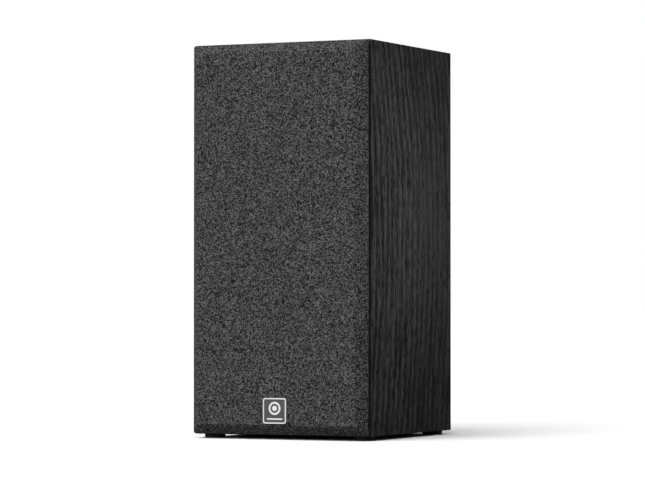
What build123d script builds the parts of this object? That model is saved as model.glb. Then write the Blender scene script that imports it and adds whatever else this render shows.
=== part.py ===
"""A two-way bookshelf loudspeaker, in millimetres.

Axes: +X to the right as the front is faced, +Y from the front to the back, +Z up.
Origin: the middle of the overall outline, on the surface that the feet stand on.
The cabinet is sized around its two drivers, and everything fitted to it follows from the values below.
"""

import os
from math import hypot, radians, tan

from build123d import *

os.makedirs("parts", exist_ok=True)

# ---------------------------------------------------------------- driving dimensions
# Drivers and the wood left round them on the baffle
woofer_radius = 58.0
tweeter_radius = 45.0
side_margin = 5.0
top_margin = 4.0
driver_gap = 6.0
space_below_woofer = 60.0

# Cabinet
cabinet_depth = 149.0
mdf_thick = 11.6
vinyl_thick = 0.4
vinyl_corner_radius = 0.8
baffle_thick = 15.0
rear_thick = 12.0
brace_thick = 9.0
brace_rim = 20.0
brace_corner_radius = 15.0
batten_leg = 12.0

# Feet
foot_radius = 8.0
foot_height = 3.2
foot_side_inset = 11.0
foot_end_inset = 12.0
foot_fillet = 0.6

# Grille
grille_gap = 2.2
grille_thick = 9.8
grille_inset = 0.5
cloth_thick = 0.8
cloth_tuck = 8.0
bevel_width = 7.3
bevel_depth = 8.0
frame_corner_radius = 1.4
frame_side_bar = 13.0
frame_top_bar = 15.0
frame_bottom_bar = 31.0
frame_upper_corner = 40.0
frame_lower_corner = 12.0
cross_bar_height = 7.0
cross_bar_thick = 4.0
peg_radius = 3.0
peg_reach = 7.0
peg_root = 4.5
peg_collar_radius = 4.4
peg_edge = 10.0
socket_radius = 5.0
socket_flange_radius = 6.4
socket_flange_thick = 1.2
socket_floor = 1.0

# Badge
badge_width = 19.5
badge_height = 19.4
badge_corner_radius = 1.8
badge_rim_width = 0.9
badge_proud = 1.0
badge_height_above_base = 19.0
badge_field_sunk = 0.5
badge_pin_radius = 1.0
badge_pin_length = 4.0
badge_pin_spacing = 9.0
mark_height = 0.25
mark_ring_radius = 5.0
mark_ring_width = 1.5
mark_dot_radius = 2.0
mark_rise = 1.9
mark_bar = (13.0, 1.1)
mark_bar_drop = 6.2

# Woofer: depths are measured back from the front of the baffle
woofer_flange_width = 9.6
woofer_flange_thick = 4.0
basket_wall = 2.0
basket_shoulder = 8.0
basket_taper = 12.0
basket_hole_radius = 17.0
basket_window_width = 24.0
basket_window_front = 12.0
basket_window_length = 14.0
basket_windows = 6
trim_ring_thick = 1.6
trim_ring_inset = 0.4
surround_thick = 0.8
surround_roll = 4.0
surround_rise = 3.0
surround_land = 3.4
surround_glue = 2.0
seat_clearance = 0.2
cone_thick = 1.2
cone_neck_depth = 24.0
dust_cap_radius = 15.8
dust_cap_rise = 7.0
dust_cap_thick = 0.6
coil_inner_radius = 12.5
former_wall = 0.35
former_front = 22.0
coil_wire = 0.55
coil_length = 12.0
spider_depth = 27.5
spider_thick = 0.5
spider_wave = 1.0
spider_wave_pitch = 4.8
spider_inner_land = 1.6
spider_ledge_width = 5.4
spider_ledge_thick = 2.0
plate_depth = 40.0
plate_thick = 5.0
plate_foot_gap = 0.4
magnet_thick = 12.0
magnet_overhang = 3.6
magnet_bore_radius = 17.0
yoke_thick = 5.0
yoke_chamfer = 2.5
coil_gap = 0.5
pole_gap = 0.45
pole_vent_radius = 4.0
tinsel_radius = 0.6

# Tweeter: depths as for the woofer
faceplate_thick = 4.0
dish_radius = 33.0
dish_depth = 3.8
throat_radius = 16.8
hub_radius = 30.0
dome_radius = 12.5
dome_rise = 4.8
dome_thick = 0.4
dome_former_length = 6.5
dome_coil_wire = 0.3
dome_coil_length = 3.2
dome_roll = 1.6
dome_roll_rise = 1.3
dome_roll_start = 0.7
dome_land_radius = 22.0
tweeter_plate_depth = 6.0
tweeter_plate_thick = 3.0
tweeter_plate_radius = 25.0
tweeter_magnet_thick = 9.0
tweeter_magnet_radius = 27.0
tweeter_magnet_bore = 15.0
tweeter_yoke_thick = 4.0

# Driver gaskets, screws and lead tags
gasket_thick = 1.0
rebate_clearance = 0.4
cut_clearance = 0.6
driver_screws_each = 4
screw_head_radius = 3.0
screw_head_thick = 2.0
screw_recess_depth = 2.2
screw_recess_clearance = 0.3
screw_radius = 1.9
screw_length = 12.0
screw_hole_clearance = 0.3
drive_socket_radius = 1.4
pilot_clearance = 0.05
tag_width = 4.8
tag_thick = 0.8
tag_length = 10.0
tag_pitch = 9.0
tag_board_thick = 1.6
tag_board_length = 18.0

# Reflex port
port_radius = 17.0
port_wall = 2.5
port_length = 80.0
port_flare = 8.0
port_flange_radius = 32.0
port_flange_thick = 3.2
port_neck_radius = 25.8
port_drop = 8.0

# Connection panel
cup_width = 64.0
cup_height = 42.0
cup_corner_radius = 8.0
cup_depth = 18.0
cup_wall = 2.0
cup_floor = 2.5
cup_flange_margin = 10.0
cup_flange_thick = 2.4
cup_flange_corner = 6.0
cup_gasket_thick = 0.8
cup_screw_inset = 6.0
cup_above_floor = 36.0
post_spacing = 19.0
stud_radius = 3.5
stud_front = 16.8
stud_back = 12.0
plug_bore_radius = 2.05
plug_bore_depth = 9.5
wire_hole_radius = 1.5
collar_radius = 7.2
collar_thick = 4.0
thread_clearance = 0.08
washer_radius = 6.4
washer_thick = 1.0
nut_radius = 7.0
nut_length = 12.0
nut_flutes = 12
flute_radius = 0.9
post_face_gap = 0.1
lock_nut_radius = 5.6
lock_nut_thick = 3.0
solder_tag_radius = 5.2
solder_tag_length = 12.0

# Crossover
board_width = 100.0
board_depth = 70.0
board_thick = 1.6
board_front_gap = 14.0
board_hole_inset = 5.0
standoff_height = 6.0
standoff_radius = 3.5
component_wire_radius = 0.5
component_lift = 1.0
inductor_radius = 16.0
inductor_bore = 7.0
inductor_height = 14.0
capacitor_radius = 8.0
capacitor_length = 34.0
resistor_side = 7.0
resistor_length = 24.0

# Internal leads and wadding
lead_radius = 0.9
pad_thick = 12.0
pad_clearance = 0.5

# ---------------------------------------------------------------- derived sizes and places
wall = mdf_thick + vinyl_thick
cabinet_width = 2 * (woofer_radius + side_margin + wall)
cabinet_height = (
    2 * wall + top_margin + 2 * tweeter_radius + driver_gap + 2 * woofer_radius + space_below_woofer
)
half_width = cabinet_width / 2
cabinet_bottom = foot_height
cabinet_top = cabinet_bottom + cabinet_height
inner_half = half_width - wall
inner_bottom = cabinet_bottom + wall
inner_top = cabinet_top - wall
cabinet_middle = (cabinet_bottom + cabinet_top) / 2

rear_proud = cup_gasket_thick + cup_flange_thick
overall_depth = badge_proud + grille_thick + grille_gap + cabinet_depth + rear_proud
grille_front = badge_proud - overall_depth / 2
grille_back = grille_front + grille_thick
baffle_front = grille_back + grille_gap
baffle_back = baffle_front + baffle_thick
rear_face = baffle_front + cabinet_depth
rear_inside = rear_face - rear_thick
depth_middle = (baffle_front + rear_face) / 2

tweeter_z = inner_top - top_margin - tweeter_radius
woofer_z = tweeter_z - tweeter_radius - driver_gap - woofer_radius
woofer_cut_radius = woofer_radius - woofer_flange_width + cut_clearance
tweeter_cut_radius = hub_radius + cut_clearance
brace_z = (tweeter_z - tweeter_cut_radius + woofer_z + woofer_cut_radius) / 2
port_z = tweeter_z - port_drop
cup_z = inner_bottom + cup_above_floor
peg_x = inner_half - peg_edge
peg_heights = (inner_bottom + peg_edge, inner_top - peg_edge)

screw_pitch_inset = screw_head_radius + screw_recess_clearance + 0.6
woofer_screw_circle = woofer_radius - screw_pitch_inset
tweeter_screw_circle = tweeter_radius - screw_pitch_inset
rebate_depth_woofer = woofer_flange_thick + gasket_thick
rebate_depth_tweeter = faceplate_thick + gasket_thick


# ---------------------------------------------------------------- helpers
def front_plane(y, z=0.0, x=0.0):
    """A plane across the cabinet that faces the front: its x is +X and its y is +Z."""
    return Plane((x, y, z), x_dir=(1, 0, 0), z_dir=(0, -1, 0))


def profile_plane(z, x=0.0, y=baffle_front):
    """A level plane for a profile turned about a front-to-back axis: x is the radius, y the depth."""
    return Plane((x, y, z), x_dir=(1, 0, 0), z_dir=(0, 0, 1))


def depth_axis(z, x=0.0):
    """The front-to-back axis at height z."""
    return Axis((x, 0, z), (0, 1, 0))


def ring(front, outer, inner, thick):
    """Add a flat ring that runs back from the plane front."""
    with BuildSketch(front) as outline:
        Circle(outer)
        Circle(inner, mode=Mode.SUBTRACT)
    extrude(outline.sketch, amount=-thick)


def corner_radii(points):
    """The largest easy bend at each corner of a route: 0.45 of its shorter run."""
    found = []
    for before, corner, after in zip(points, points[1:], points[2:]):
        arriving = Vector(*corner) - Vector(*before)
        leaving = Vector(*after) - Vector(*corner)
        shorter = min(arriving.length, leaving.length)
        found.append(0.45 * shorter / tan(radians(arriving.get_angle(leaving)) / 2))
    return found


def wire(points, radius):
    """Add a round wire along straight runs joined by arcs."""
    with BuildLine() as route:
        FilletPolyline(*points, radius=corner_radii(points))
    start = Plane(route.line @ 0, z_dir=route.line % 0)
    with BuildSketch(start) as section:
        Circle(radius)
    sweep(section.sketch, path=route.line)


# ---------------------------------------------------------------- cabinet
panel_outer = half_width - vinyl_thick
panel_low = cabinet_bottom + vinyl_thick
panel_high = cabinet_top - vinyl_thick

# The four folded panels meet on mitres, so each one is a trapezium seen from the front.
with BuildPart() as side_panel_right:
    with BuildSketch(front_plane(baffle_front)):
        with BuildLine():
            Polyline(
                (panel_outer, panel_low),
                (panel_outer, panel_high),
                (inner_half, inner_top),
                (inner_half, inner_bottom),
                close=True,
            )
        make_face()
    extrude(amount=-cabinet_depth)

with BuildPart() as side_panel_left:
    mirror(side_panel_right.part, about=Plane.YZ)

with BuildPart() as top_panel:
    with BuildSketch(front_plane(baffle_front)):
        with BuildLine():
            Polyline(
                (-panel_outer, panel_high),
                (panel_outer, panel_high),
                (inner_half, inner_top),
                (-inner_half, inner_top),
                close=True,
            )
        make_face()
    extrude(amount=-cabinet_depth)

board_centre_y = baffle_back + board_front_gap + board_depth / 2
board_hole_grid = (board_width - 2 * board_hole_inset, board_depth - 2 * board_hole_inset)
wood_screw_bite = screw_length - standoff_height - board_thick

with BuildPart() as bottom_panel:
    with BuildSketch(front_plane(baffle_front)):
        with BuildLine():
            Polyline(
                (-panel_outer, panel_low),
                (panel_outer, panel_low),
                (inner_half, inner_bottom),
                (-inner_half, inner_bottom),
                close=True,
            )
        make_face()
    extrude(amount=-cabinet_depth)
    with Locations((0, board_centre_y, inner_bottom)):
        with GridLocations(*board_hole_grid, 2, 2):
            Hole(screw_radius + pilot_clearance, depth=wood_screw_bite)

with BuildPart() as vinyl_wrap:
    with BuildSketch(front_plane(baffle_front, cabinet_middle)):
        RectangleRounded(cabinet_width, cabinet_height, vinyl_corner_radius)
        Rectangle(2 * panel_outer, panel_high - panel_low, mode=Mode.SUBTRACT)
    extrude(amount=-cabinet_depth)

socket_depth = peg_reach + socket_floor + 0.8

with BuildPart() as front_baffle:
    with BuildSketch(front_plane(baffle_front, cabinet_middle)):
        Rectangle(2 * inner_half, inner_top - inner_bottom)
    extrude(amount=-baffle_thick)
    with Locations(front_plane(baffle_front, woofer_z)):
        CounterBoreHole(woofer_cut_radius, woofer_radius + rebate_clearance, rebate_depth_woofer)
    with Locations(front_plane(baffle_front, tweeter_z)):
        CounterBoreHole(tweeter_cut_radius, tweeter_radius + rebate_clearance, rebate_depth_tweeter)
    with Locations(front_plane(baffle_front + rebate_depth_woofer, woofer_z)):
        with PolarLocations(woofer_screw_circle, driver_screws_each, 45):
            Hole(
                screw_radius + pilot_clearance, depth=screw_length - rebate_depth_woofer + screw_recess_depth
            )
    with Locations(front_plane(baffle_front + rebate_depth_tweeter, tweeter_z)):
        with PolarLocations(tweeter_screw_circle, driver_screws_each, 45):
            Hole(
                screw_radius + pilot_clearance, depth=screw_length - rebate_depth_tweeter + screw_recess_depth
            )
    with Locations(*[front_plane(baffle_front, z, x) for z in peg_heights for x in (-peg_x, peg_x)]):
        Hole(socket_radius, depth=socket_depth)

cup_centre_y = rear_face + cup_gasket_thick
cup_cut_width = cup_width + 2 * cup_wall + 1.0
cup_cut_height = cup_height + 2 * cup_wall + 1.0
cup_screw_grid = (
    cup_width + 2 * cup_flange_margin - 2 * cup_screw_inset,
    cup_height + 2 * cup_flange_margin - 2 * cup_screw_inset,
)

with BuildPart() as rear_panel:
    with BuildSketch(front_plane(rear_inside, cabinet_middle)):
        Rectangle(2 * inner_half, inner_top - inner_bottom)
    extrude(amount=-rear_thick)
    with Locations(front_plane(rear_inside, port_z)):
        Hole(port_neck_radius + 0.2)
    with BuildSketch(front_plane(rear_inside, cup_z)):
        RectangleRounded(cup_cut_width, cup_cut_height, cup_corner_radius + cup_wall)
    extrude(amount=-rear_thick, mode=Mode.SUBTRACT)
    with Locations(Plane((0, rear_face, cup_z), x_dir=(1, 0, 0), z_dir=(0, 1, 0))):
        with GridLocations(*cup_screw_grid, 2, 2):
            Hole(screw_radius + pilot_clearance, depth=screw_length - cup_flange_thick - cup_gasket_thick)

brace_depth = rear_inside - baffle_back
window_half_width = inner_half - brace_rim

with BuildPart() as shelf_brace:
    with BuildSketch(Plane((0, (baffle_back + rear_inside) / 2, brace_z - brace_thick / 2))):
        Rectangle(2 * inner_half, brace_depth)
        RectangleRounded(
            2 * window_half_width, brace_depth - 2 * brace_rim, brace_corner_radius, mode=Mode.SUBTRACT
        )
    extrude(amount=brace_thick)

with BuildPart() as corner_battens:
    with BuildSketch(Plane.XY.offset(inner_bottom)):
        for side in (-1, 1):
            for y, inward in ((baffle_back, 1), (rear_inside, -1)):
                with BuildLine():
                    Polyline(
                        (side * inner_half, y),
                        (side * (inner_half - batten_leg), y),
                        (side * inner_half, y + inward * batten_leg),
                        close=True,
                    )
                make_face()
    extrude(amount=brace_z - brace_thick / 2 - inner_bottom)

foot_grid = (cabinet_width - 2 * foot_side_inset, cabinet_depth - 2 * foot_end_inset)

with BuildPart() as rubber_feet:
    with BuildSketch(Plane((0, depth_middle, 0))):
        with GridLocations(*foot_grid, 2, 2):
            Circle(foot_radius)
    extrude(amount=foot_height)
    fillet(rubber_feet.edges().group_by(Axis.Z)[0], foot_fillet)

with BuildPart() as wadding_pads:
    pad_front = baffle_back + batten_leg + 2
    pad_back = rear_inside - batten_leg - 2
    pad_low = inner_bottom + batten_leg
    pad_high = brace_z - brace_thick / 2 - pad_clearance
    pad_x = inner_half - pad_clearance - pad_thick / 2
    with Locations(*[(x, (pad_front + pad_back) / 2, (pad_low + pad_high) / 2) for x in (-pad_x, pad_x)]):
        Box(pad_thick, pad_back - pad_front, pad_high - pad_low)
    with Locations((0, (baffle_back + rear_inside) / 2, inner_top - pad_clearance - pad_thick / 2)):
        Box(2 * (inner_half - batten_leg / 2), brace_depth - 2 * pad_clearance, pad_thick)

# ---------------------------------------------------------------- grille
frame_half_width = half_width - grille_inset - cloth_thick
frame_low = cabinet_bottom + grille_inset + cloth_thick
frame_high = cabinet_top - grille_inset - cloth_thick
frame_front = grille_front + cloth_thick
frame_back = grille_back - cloth_thick
frame_middle = (frame_low + frame_high) / 2
badge_z = cabinet_bottom + badge_height_above_base
window_half = frame_half_width - frame_side_bar
cross_bar_z = tweeter_z - tweeter_radius - driver_gap / 2
window_top = frame_high - frame_top_bar
window_bottom = frame_low + frame_bottom_bar


def bevelled_block(inset):
    """Add the grille's outline as a bevelled block, drawn in from every face but the back by inset."""
    half = half_width - grille_inset - inset
    half_tall = (cabinet_height - 2 * grille_inset) / 2 - inset
    slant = hypot(bevel_width, bevel_depth)
    level = grille_front + bevel_depth + inset * (slant - bevel_depth) / bevel_width
    taken = bevel_width + inset * ((slant - bevel_width) / bevel_depth - 1)
    with BuildSketch(front_plane(grille_front + inset, cabinet_middle)) as face:
        RectangleRounded(2 * (half - taken), 2 * (half_tall - taken), frame_corner_radius / 2)
    with BuildSketch(front_plane(level, cabinet_middle)) as shoulder:
        RectangleRounded(2 * half, 2 * half_tall, frame_corner_radius)
    loft([face.sketch, shoulder.sketch], ruled=True)
    extrude(shoulder.sketch, amount=-(grille_back - inset - level))


badge_pin_places = [front_plane(grille_front, badge_z, side * badge_pin_spacing / 2) for side in (-1, 1)]
peg_places = [(x, z) for z in peg_heights for x in (-peg_x, peg_x)]
pin_clearance = 0.1

with BuildPart() as grille_frame:
    bevelled_block(cloth_thick)
    with BuildSketch(front_plane(frame_front)):
        with Locations((0, (window_top + window_bottom) / 2)):
            Rectangle(2 * window_half, window_top - window_bottom)
        fillet(vertices().group_by(Axis.Y)[-1], frame_upper_corner)
        fillet(vertices().group_by(Axis.Y)[0], frame_lower_corner)
    extrude(amount=frame_front - frame_back, mode=Mode.SUBTRACT)
    with Locations((0, frame_front + cross_bar_thick / 2, cross_bar_z)):
        Box(2 * window_half + cross_bar_thick, cross_bar_thick, cross_bar_height)
    with Locations(*badge_pin_places):
        Hole(badge_pin_radius + pin_clearance, depth=badge_pin_length + pin_clearance)
    with Locations(*[Plane((x, frame_back, z), x_dir=(1, 0, 0), z_dir=(0, 1, 0)) for x, z in peg_places]):
        Hole(peg_radius, depth=peg_root)

with BuildPart() as grille_cloth:
    bevelled_block(0)
    with BuildPart(mode=Mode.PRIVATE) as frame_space:
        bevelled_block(cloth_thick)
    add(frame_space.part, mode=Mode.SUBTRACT)
    with BuildSketch(front_plane(frame_back, cabinet_middle)):
        Rectangle(2 * (half_width - grille_inset - cloth_tuck), cabinet_height - 2 * (grille_inset + cloth_tuck))
    extrude(amount=-cloth_thick, mode=Mode.SUBTRACT)
    with Locations(*badge_pin_places):
        Hole(badge_pin_radius + pin_clearance, depth=cloth_thick + pin_clearance)

socket_front = baffle_front - socket_flange_thick
socket_bore = peg_radius + 0.06

with BuildPart() as grille_pegs:
    for x, z in peg_places:
        collar = socket_front - post_face_gap - frame_back
        with BuildSketch(front_plane(frame_back, z, x)) as collar_face:
            Circle(peg_collar_radius)
        extrude(collar_face.sketch, amount=-collar)
        with BuildSketch(front_plane(frame_back - peg_root, z, x)) as pin_face:
            Circle(peg_radius)
        extrude(pin_face.sketch, amount=-(peg_root + baffle_front + peg_reach - frame_back))
    chamfer(grille_pegs.faces().group_by(Axis.Y)[-1].edges(), 0.8)

with BuildPart() as peg_sockets:
    for x, z in peg_places:
        with BuildSketch(front_plane(socket_front, z, x)) as flange_face:
            Circle(socket_flange_radius)
        extrude(flange_face.sketch, amount=-socket_flange_thick)
        with BuildSketch(front_plane(baffle_front, z, x)) as body_face:
            Circle(socket_radius)
        extrude(body_face.sketch, amount=-socket_depth)
    with Locations(*[front_plane(socket_front, z, x) for x, z in peg_places]):
        Hole(socket_bore, depth=socket_flange_thick + socket_depth - socket_floor)

# ---------------------------------------------------------------- badge
badge_front = grille_front - badge_proud
field_front = badge_front + badge_field_sunk
field_width = badge_width - 2 * badge_rim_width
field_height = badge_height - 2 * badge_rim_width
field_corner = badge_corner_radius - badge_rim_width

with BuildPart() as badge_plate:
    with BuildSketch(front_plane(field_front, badge_z)):
        RectangleRounded(field_width, field_height, field_corner)
    extrude(amount=field_front - grille_front)
    with BuildSketch(*badge_pin_places):
        Circle(badge_pin_radius)
    extrude(amount=-badge_pin_length)

with BuildPart() as badge_trim:
    with BuildSketch(front_plane(badge_front, badge_z)):
        RectangleRounded(badge_width, badge_height, badge_corner_radius)
        RectangleRounded(field_width, field_height, field_corner, mode=Mode.SUBTRACT)
    extrude(amount=-badge_proud)
    with BuildSketch(front_plane(field_front - mark_height, badge_z)):
        with Locations((0, mark_rise)):
            Circle(mark_ring_radius)
            Circle(mark_ring_radius - mark_ring_width, mode=Mode.SUBTRACT)
            Circle(mark_dot_radius)
        with Locations((0, -mark_bar_drop)):
            Rectangle(*mark_bar)
    extrude(amount=-mark_height)

# ---------------------------------------------------------------- woofer
flange_inner = woofer_radius - woofer_flange_width
basket_inner = flange_inner - basket_wall
basket_foot_radius = flange_inner - basket_taper
plate_radius = basket_foot_radius - plate_foot_gap
magnet_radius = basket_foot_radius + magnet_overhang
seat_radius = basket_inner + surround_land + seat_clearance
seat_depth = trim_ring_thick + surround_thick
roll_inner = basket_inner - 2 * surround_roll
cone_flange_inner = roll_inner - surround_glue
tinsel_cone_radius = (dust_cap_radius + cone_flange_inner) / 2
former_radius = coil_inner_radius + former_wall
coil_radius = former_radius + coil_wire
coil_middle = plate_depth + plate_thick / 2
yoke_depth = plate_depth + plate_thick + magnet_thick
cone_slope = (cone_neck_depth - seat_depth) / (cone_flange_inner - former_radius)


def turned(points, z, x=0.0, y=baffle_front):
    """Add the solid turned from a closed run of (radius, depth) points."""
    with BuildSketch(profile_plane(z, x, y)) as section:
        with BuildLine():
            Polyline(*points, close=True)
        make_face()
    revolve(section.sketch, axis=depth_axis(z, x))


def basket_outside(depth):
    """The outer radius of the basket's sloping wall at a depth."""
    fallen = (depth - basket_shoulder) / (plate_depth - basket_shoulder)
    return flange_inner - (flange_inner - basket_foot_radius) * fallen


def roll_profile(land_in, roll_in, roll_out, land_out, depth, rise, thick):
    """Draw the section of a thin ring with a half roll between two flat lands."""
    crest = (roll_in + roll_out) / 2
    back = depth + thick
    with BuildLine() as outline:
        Polyline((roll_in + thick, back), (land_in, back), (land_in, depth), (roll_in, depth))
        ThreePointArc((roll_in, depth), (crest, depth - rise), (roll_out, depth))
        Polyline((roll_out, depth), (land_out, depth), (land_out, back), (roll_out - thick, back))
        ThreePointArc((roll_out - thick, back), (crest, back - rise), (roll_in + thick, back))
    make_face(outline.edges())


def screw_set(face_y, z, circle):
    """Add a driver's fixing screws, with their heads sunk just below the face at face_y."""
    head_y = face_y + screw_recess_depth - screw_head_thick
    for place in PolarLocations(circle, driver_screws_each, 45):
        x, up = place.position.X, place.position.Y
        with BuildSketch(front_plane(head_y, z + up, x)) as head:
            Circle(screw_head_radius)
            RegularPolygon(drive_socket_radius, 6, mode=Mode.SUBTRACT)
        extrude(head.sketch, amount=-screw_head_thick / 2)
        with BuildSketch(front_plane(head_y + screw_head_thick / 2, z + up, x)) as under:
            Circle(screw_head_radius)
        extrude(under.sketch, amount=-screw_head_thick / 2)
        with BuildSketch(front_plane(head_y + screw_head_thick, z + up, x)) as shank:
            Circle(screw_radius)
        extrude(shank.sketch, amount=-screw_length)


tab_depth = plate_depth - 6
tab_thick = 2.0
tab_width = tag_board_length
tag_board_depth = tab_depth + tab_thick
tag_x = flange_inner - 2.9
tag_places = [(tag_x, woofer_z + side * tag_pitch / 2) for side in (-1, 1)]
ledge_depth = spider_depth + spider_thick
ledge_outer = basket_outside(ledge_depth + spider_ledge_thick) - basket_wall / 2
ledge_inner = ledge_outer - spider_ledge_width

with BuildPart() as woofer_basket:
    turned(
        [
            (woofer_radius, 0),
            (woofer_radius, woofer_flange_thick),
            (flange_inner, woofer_flange_thick),
            (flange_inner, basket_shoulder),
            (basket_foot_radius, plate_depth),
            (basket_hole_radius, plate_depth),
            (basket_hole_radius, plate_depth - basket_wall),
            (basket_foot_radius - basket_wall, plate_depth - basket_wall),
            (basket_inner, basket_shoulder),
            (basket_inner, seat_depth),
            (seat_radius, seat_depth),
            (seat_radius, 0),
        ],
        woofer_z,
    )
    ring(front_plane(baffle_front + ledge_depth, woofer_z), ledge_outer, ledge_inner, spider_ledge_thick)
    window_middle = baffle_front + basket_window_front + basket_window_length / 2
    with Locations(front_plane(window_middle, woofer_z)):
        with PolarLocations(basket_inner - 3, basket_windows):
            Box(16, basket_window_width, basket_window_length, mode=Mode.SUBTRACT)
    tab_start = basket_outside(tab_depth) - basket_wall / 2
    tab_end = tag_x - tag_thick - 1.5
    with Locations(((tab_start + tab_end) / 2, baffle_front + tab_depth + tab_thick / 2, woofer_z)):
        Box(tab_end - tab_start, tab_thick, tab_width)
    with Locations(front_plane(baffle_front, woofer_z)):
        with PolarLocations(woofer_screw_circle, driver_screws_each, 45):
            CounterBoreHole(
                screw_radius + screw_hole_clearance,
                screw_head_radius + screw_recess_clearance,
                screw_recess_depth,
                depth=woofer_flange_thick,
            )

with BuildPart() as woofer_trim_ring:
    ring_outer = seat_radius - seat_clearance
    ring(front_plane(baffle_front, woofer_z), ring_outer, basket_inner + trim_ring_inset, trim_ring_thick)
    front_circles = woofer_trim_ring.faces().sort_by(Axis.Y)[0].edges().filter_by(GeomType.CIRCLE)
    fillet(front_circles.sort_by(SortBy.RADIUS)[0], trim_ring_inset)

with BuildPart() as woofer_surround:
    with BuildSketch(profile_plane(woofer_z)):
        roll_profile(
            cone_flange_inner,
            roll_inner,
            basket_inner,
            seat_radius - seat_clearance,
            trim_ring_thick,
            surround_rise,
            surround_thick,
        )
    revolve(axis=depth_axis(woofer_z))

with BuildPart() as woofer_cone:
    turned(
        [
            (roll_inner, seat_depth),
            (cone_flange_inner, seat_depth),
            (former_radius, cone_neck_depth),
            (former_radius, cone_neck_depth + cone_thick),
            (cone_flange_inner, seat_depth + cone_thick),
            (roll_inner, seat_depth + cone_thick),
        ],
        woofer_z,
    )


def dome_arc(radius, base, crown):
    """Draw an arc of a dome's section from its rim to the axis."""
    rise = base - crown
    sphere = (radius**2 + rise**2) / (2 * rise)
    half_x = sphere * ((1 - (sphere - rise) / sphere) / 2) ** 0.5
    half_y = crown + sphere - (sphere**2 - half_x**2) ** 0.5
    ThreePointArc((radius, base), (half_x, half_y), (0, crown))


def cap(radius, rise, thick, base, slope, z):
    """Add a domed cap whose rim follows a seat that falls by slope towards the axis."""
    inner_base = base + slope * thick
    with BuildSketch(profile_plane(z)) as section:
        with BuildLine():
            dome_arc(radius, base, base - rise)
            Line((0, base - rise), (0, base - rise + thick))
            dome_arc(radius - thick, inner_base, base - rise + thick)
            Line((radius - thick, inner_base), (radius, base))
        make_face()
    revolve(section.sketch, axis=depth_axis(z))


cap_seat = cone_neck_depth - cone_slope * (dust_cap_radius - former_radius)

with BuildPart() as woofer_dust_cap:
    cap(dust_cap_radius, dust_cap_rise, dust_cap_thick, cap_seat, cone_slope, woofer_z)

with BuildPart() as woofer_coil_former:
    former_back = coil_middle + coil_length / 2
    ring(
        front_plane(baffle_front + former_front, woofer_z),
        former_radius,
        coil_inner_radius,
        former_back - former_front,
    )

with BuildPart() as woofer_voice_coil:
    coil_front = baffle_front + coil_middle - coil_length / 2
    ring(front_plane(coil_front, woofer_z), coil_radius, former_radius, coil_length)

with BuildPart() as woofer_spider:
    wave_in = former_radius + spider_inner_land
    spider_waves = max(1, round((ledge_inner - wave_in) / spider_wave_pitch))
    half_wave = (ledge_inner - wave_in) / (2 * spider_waves)
    spider_outer = ledge_inner + spider_ledge_width - basket_wall
    with BuildSketch(profile_plane(woofer_z)):
        with BuildLine():
            for depth in (spider_depth, spider_depth + spider_thick):
                Line((former_radius, depth), (wave_in, depth))
                for step in range(2 * spider_waves):
                    start = wave_in + step * half_wave
                    bulge = spider_wave if step % 2 else -spider_wave
                    ThreePointArc(
                        (start, depth), (start + half_wave / 2, depth + bulge), (start + half_wave, depth)
                    )
                Line((ledge_inner, depth), (spider_outer, depth))
            for radius in (former_radius, spider_outer):
                Line((radius, spider_depth), (radius, spider_depth + spider_thick))
        make_face()
    revolve(axis=depth_axis(woofer_z))

with BuildPart() as woofer_top_plate:
    ring(front_plane(baffle_front + plate_depth, woofer_z), plate_radius, coil_radius + coil_gap, plate_thick)

with BuildPart() as woofer_magnet:
    ring(
        front_plane(baffle_front + plate_depth + plate_thick, woofer_z),
        magnet_radius,
        magnet_bore_radius,
        magnet_thick,
    )
    chamfer(woofer_magnet.edges().filter_by(GeomType.CIRCLE).group_by(SortBy.RADIUS)[-1], 0.8)


def yoke(z, pole_radius, vent, pole_front, depth, radius, thick, bevel):
    """Add a back plate with its pole."""
    turned(
        [
            (vent, pole_front),
            (pole_radius, pole_front),
            (pole_radius, depth),
            (radius, depth),
            (radius, depth + thick - bevel),
            (radius - bevel, depth + thick),
            (vent, depth + thick),
        ],
        z,
    )


with BuildPart() as woofer_yoke:
    woofer_pole = coil_inner_radius - pole_gap
    yoke(
        woofer_z, woofer_pole, pole_vent_radius, plate_depth, yoke_depth, plate_radius, yoke_thick, yoke_chamfer
    )

with BuildPart() as woofer_screws:
    screw_set(baffle_front, woofer_z, woofer_screw_circle)

with BuildPart() as woofer_tinsel_leads:
    tinsel_start = (
        seat_depth + cone_slope * (cone_flange_inner - tinsel_cone_radius) + cone_thick + tinsel_radius * 1.5
    )
    for x, z in tag_places:
        wire(
            [
                (tinsel_cone_radius, baffle_front + tinsel_start, z),
                (tinsel_cone_radius + 2, baffle_front + tinsel_start + 4, z),
                (x, baffle_front + basket_window_front + basket_window_length / 2 + 1, z),
                (x, baffle_front + tag_board_depth - 1, z),
            ],
            tinsel_radius,
        )

# ---------------------------------------------------------------- tweeter
diaphragm_depth = tweeter_plate_depth - dome_thick
former_inner = dome_radius - dome_thick
dome_coil_radius = dome_radius + dome_coil_wire
dome_coil_middle = tweeter_plate_depth + tweeter_plate_thick / 2 + 0.3
roll_start = dome_radius + dome_roll_start
roll_end = roll_start + 2 * dome_roll
tweeter_yoke_depth = tweeter_plate_depth + tweeter_plate_thick + tweeter_magnet_thick
tweeter_back = tweeter_yoke_depth + tweeter_yoke_thick

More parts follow.
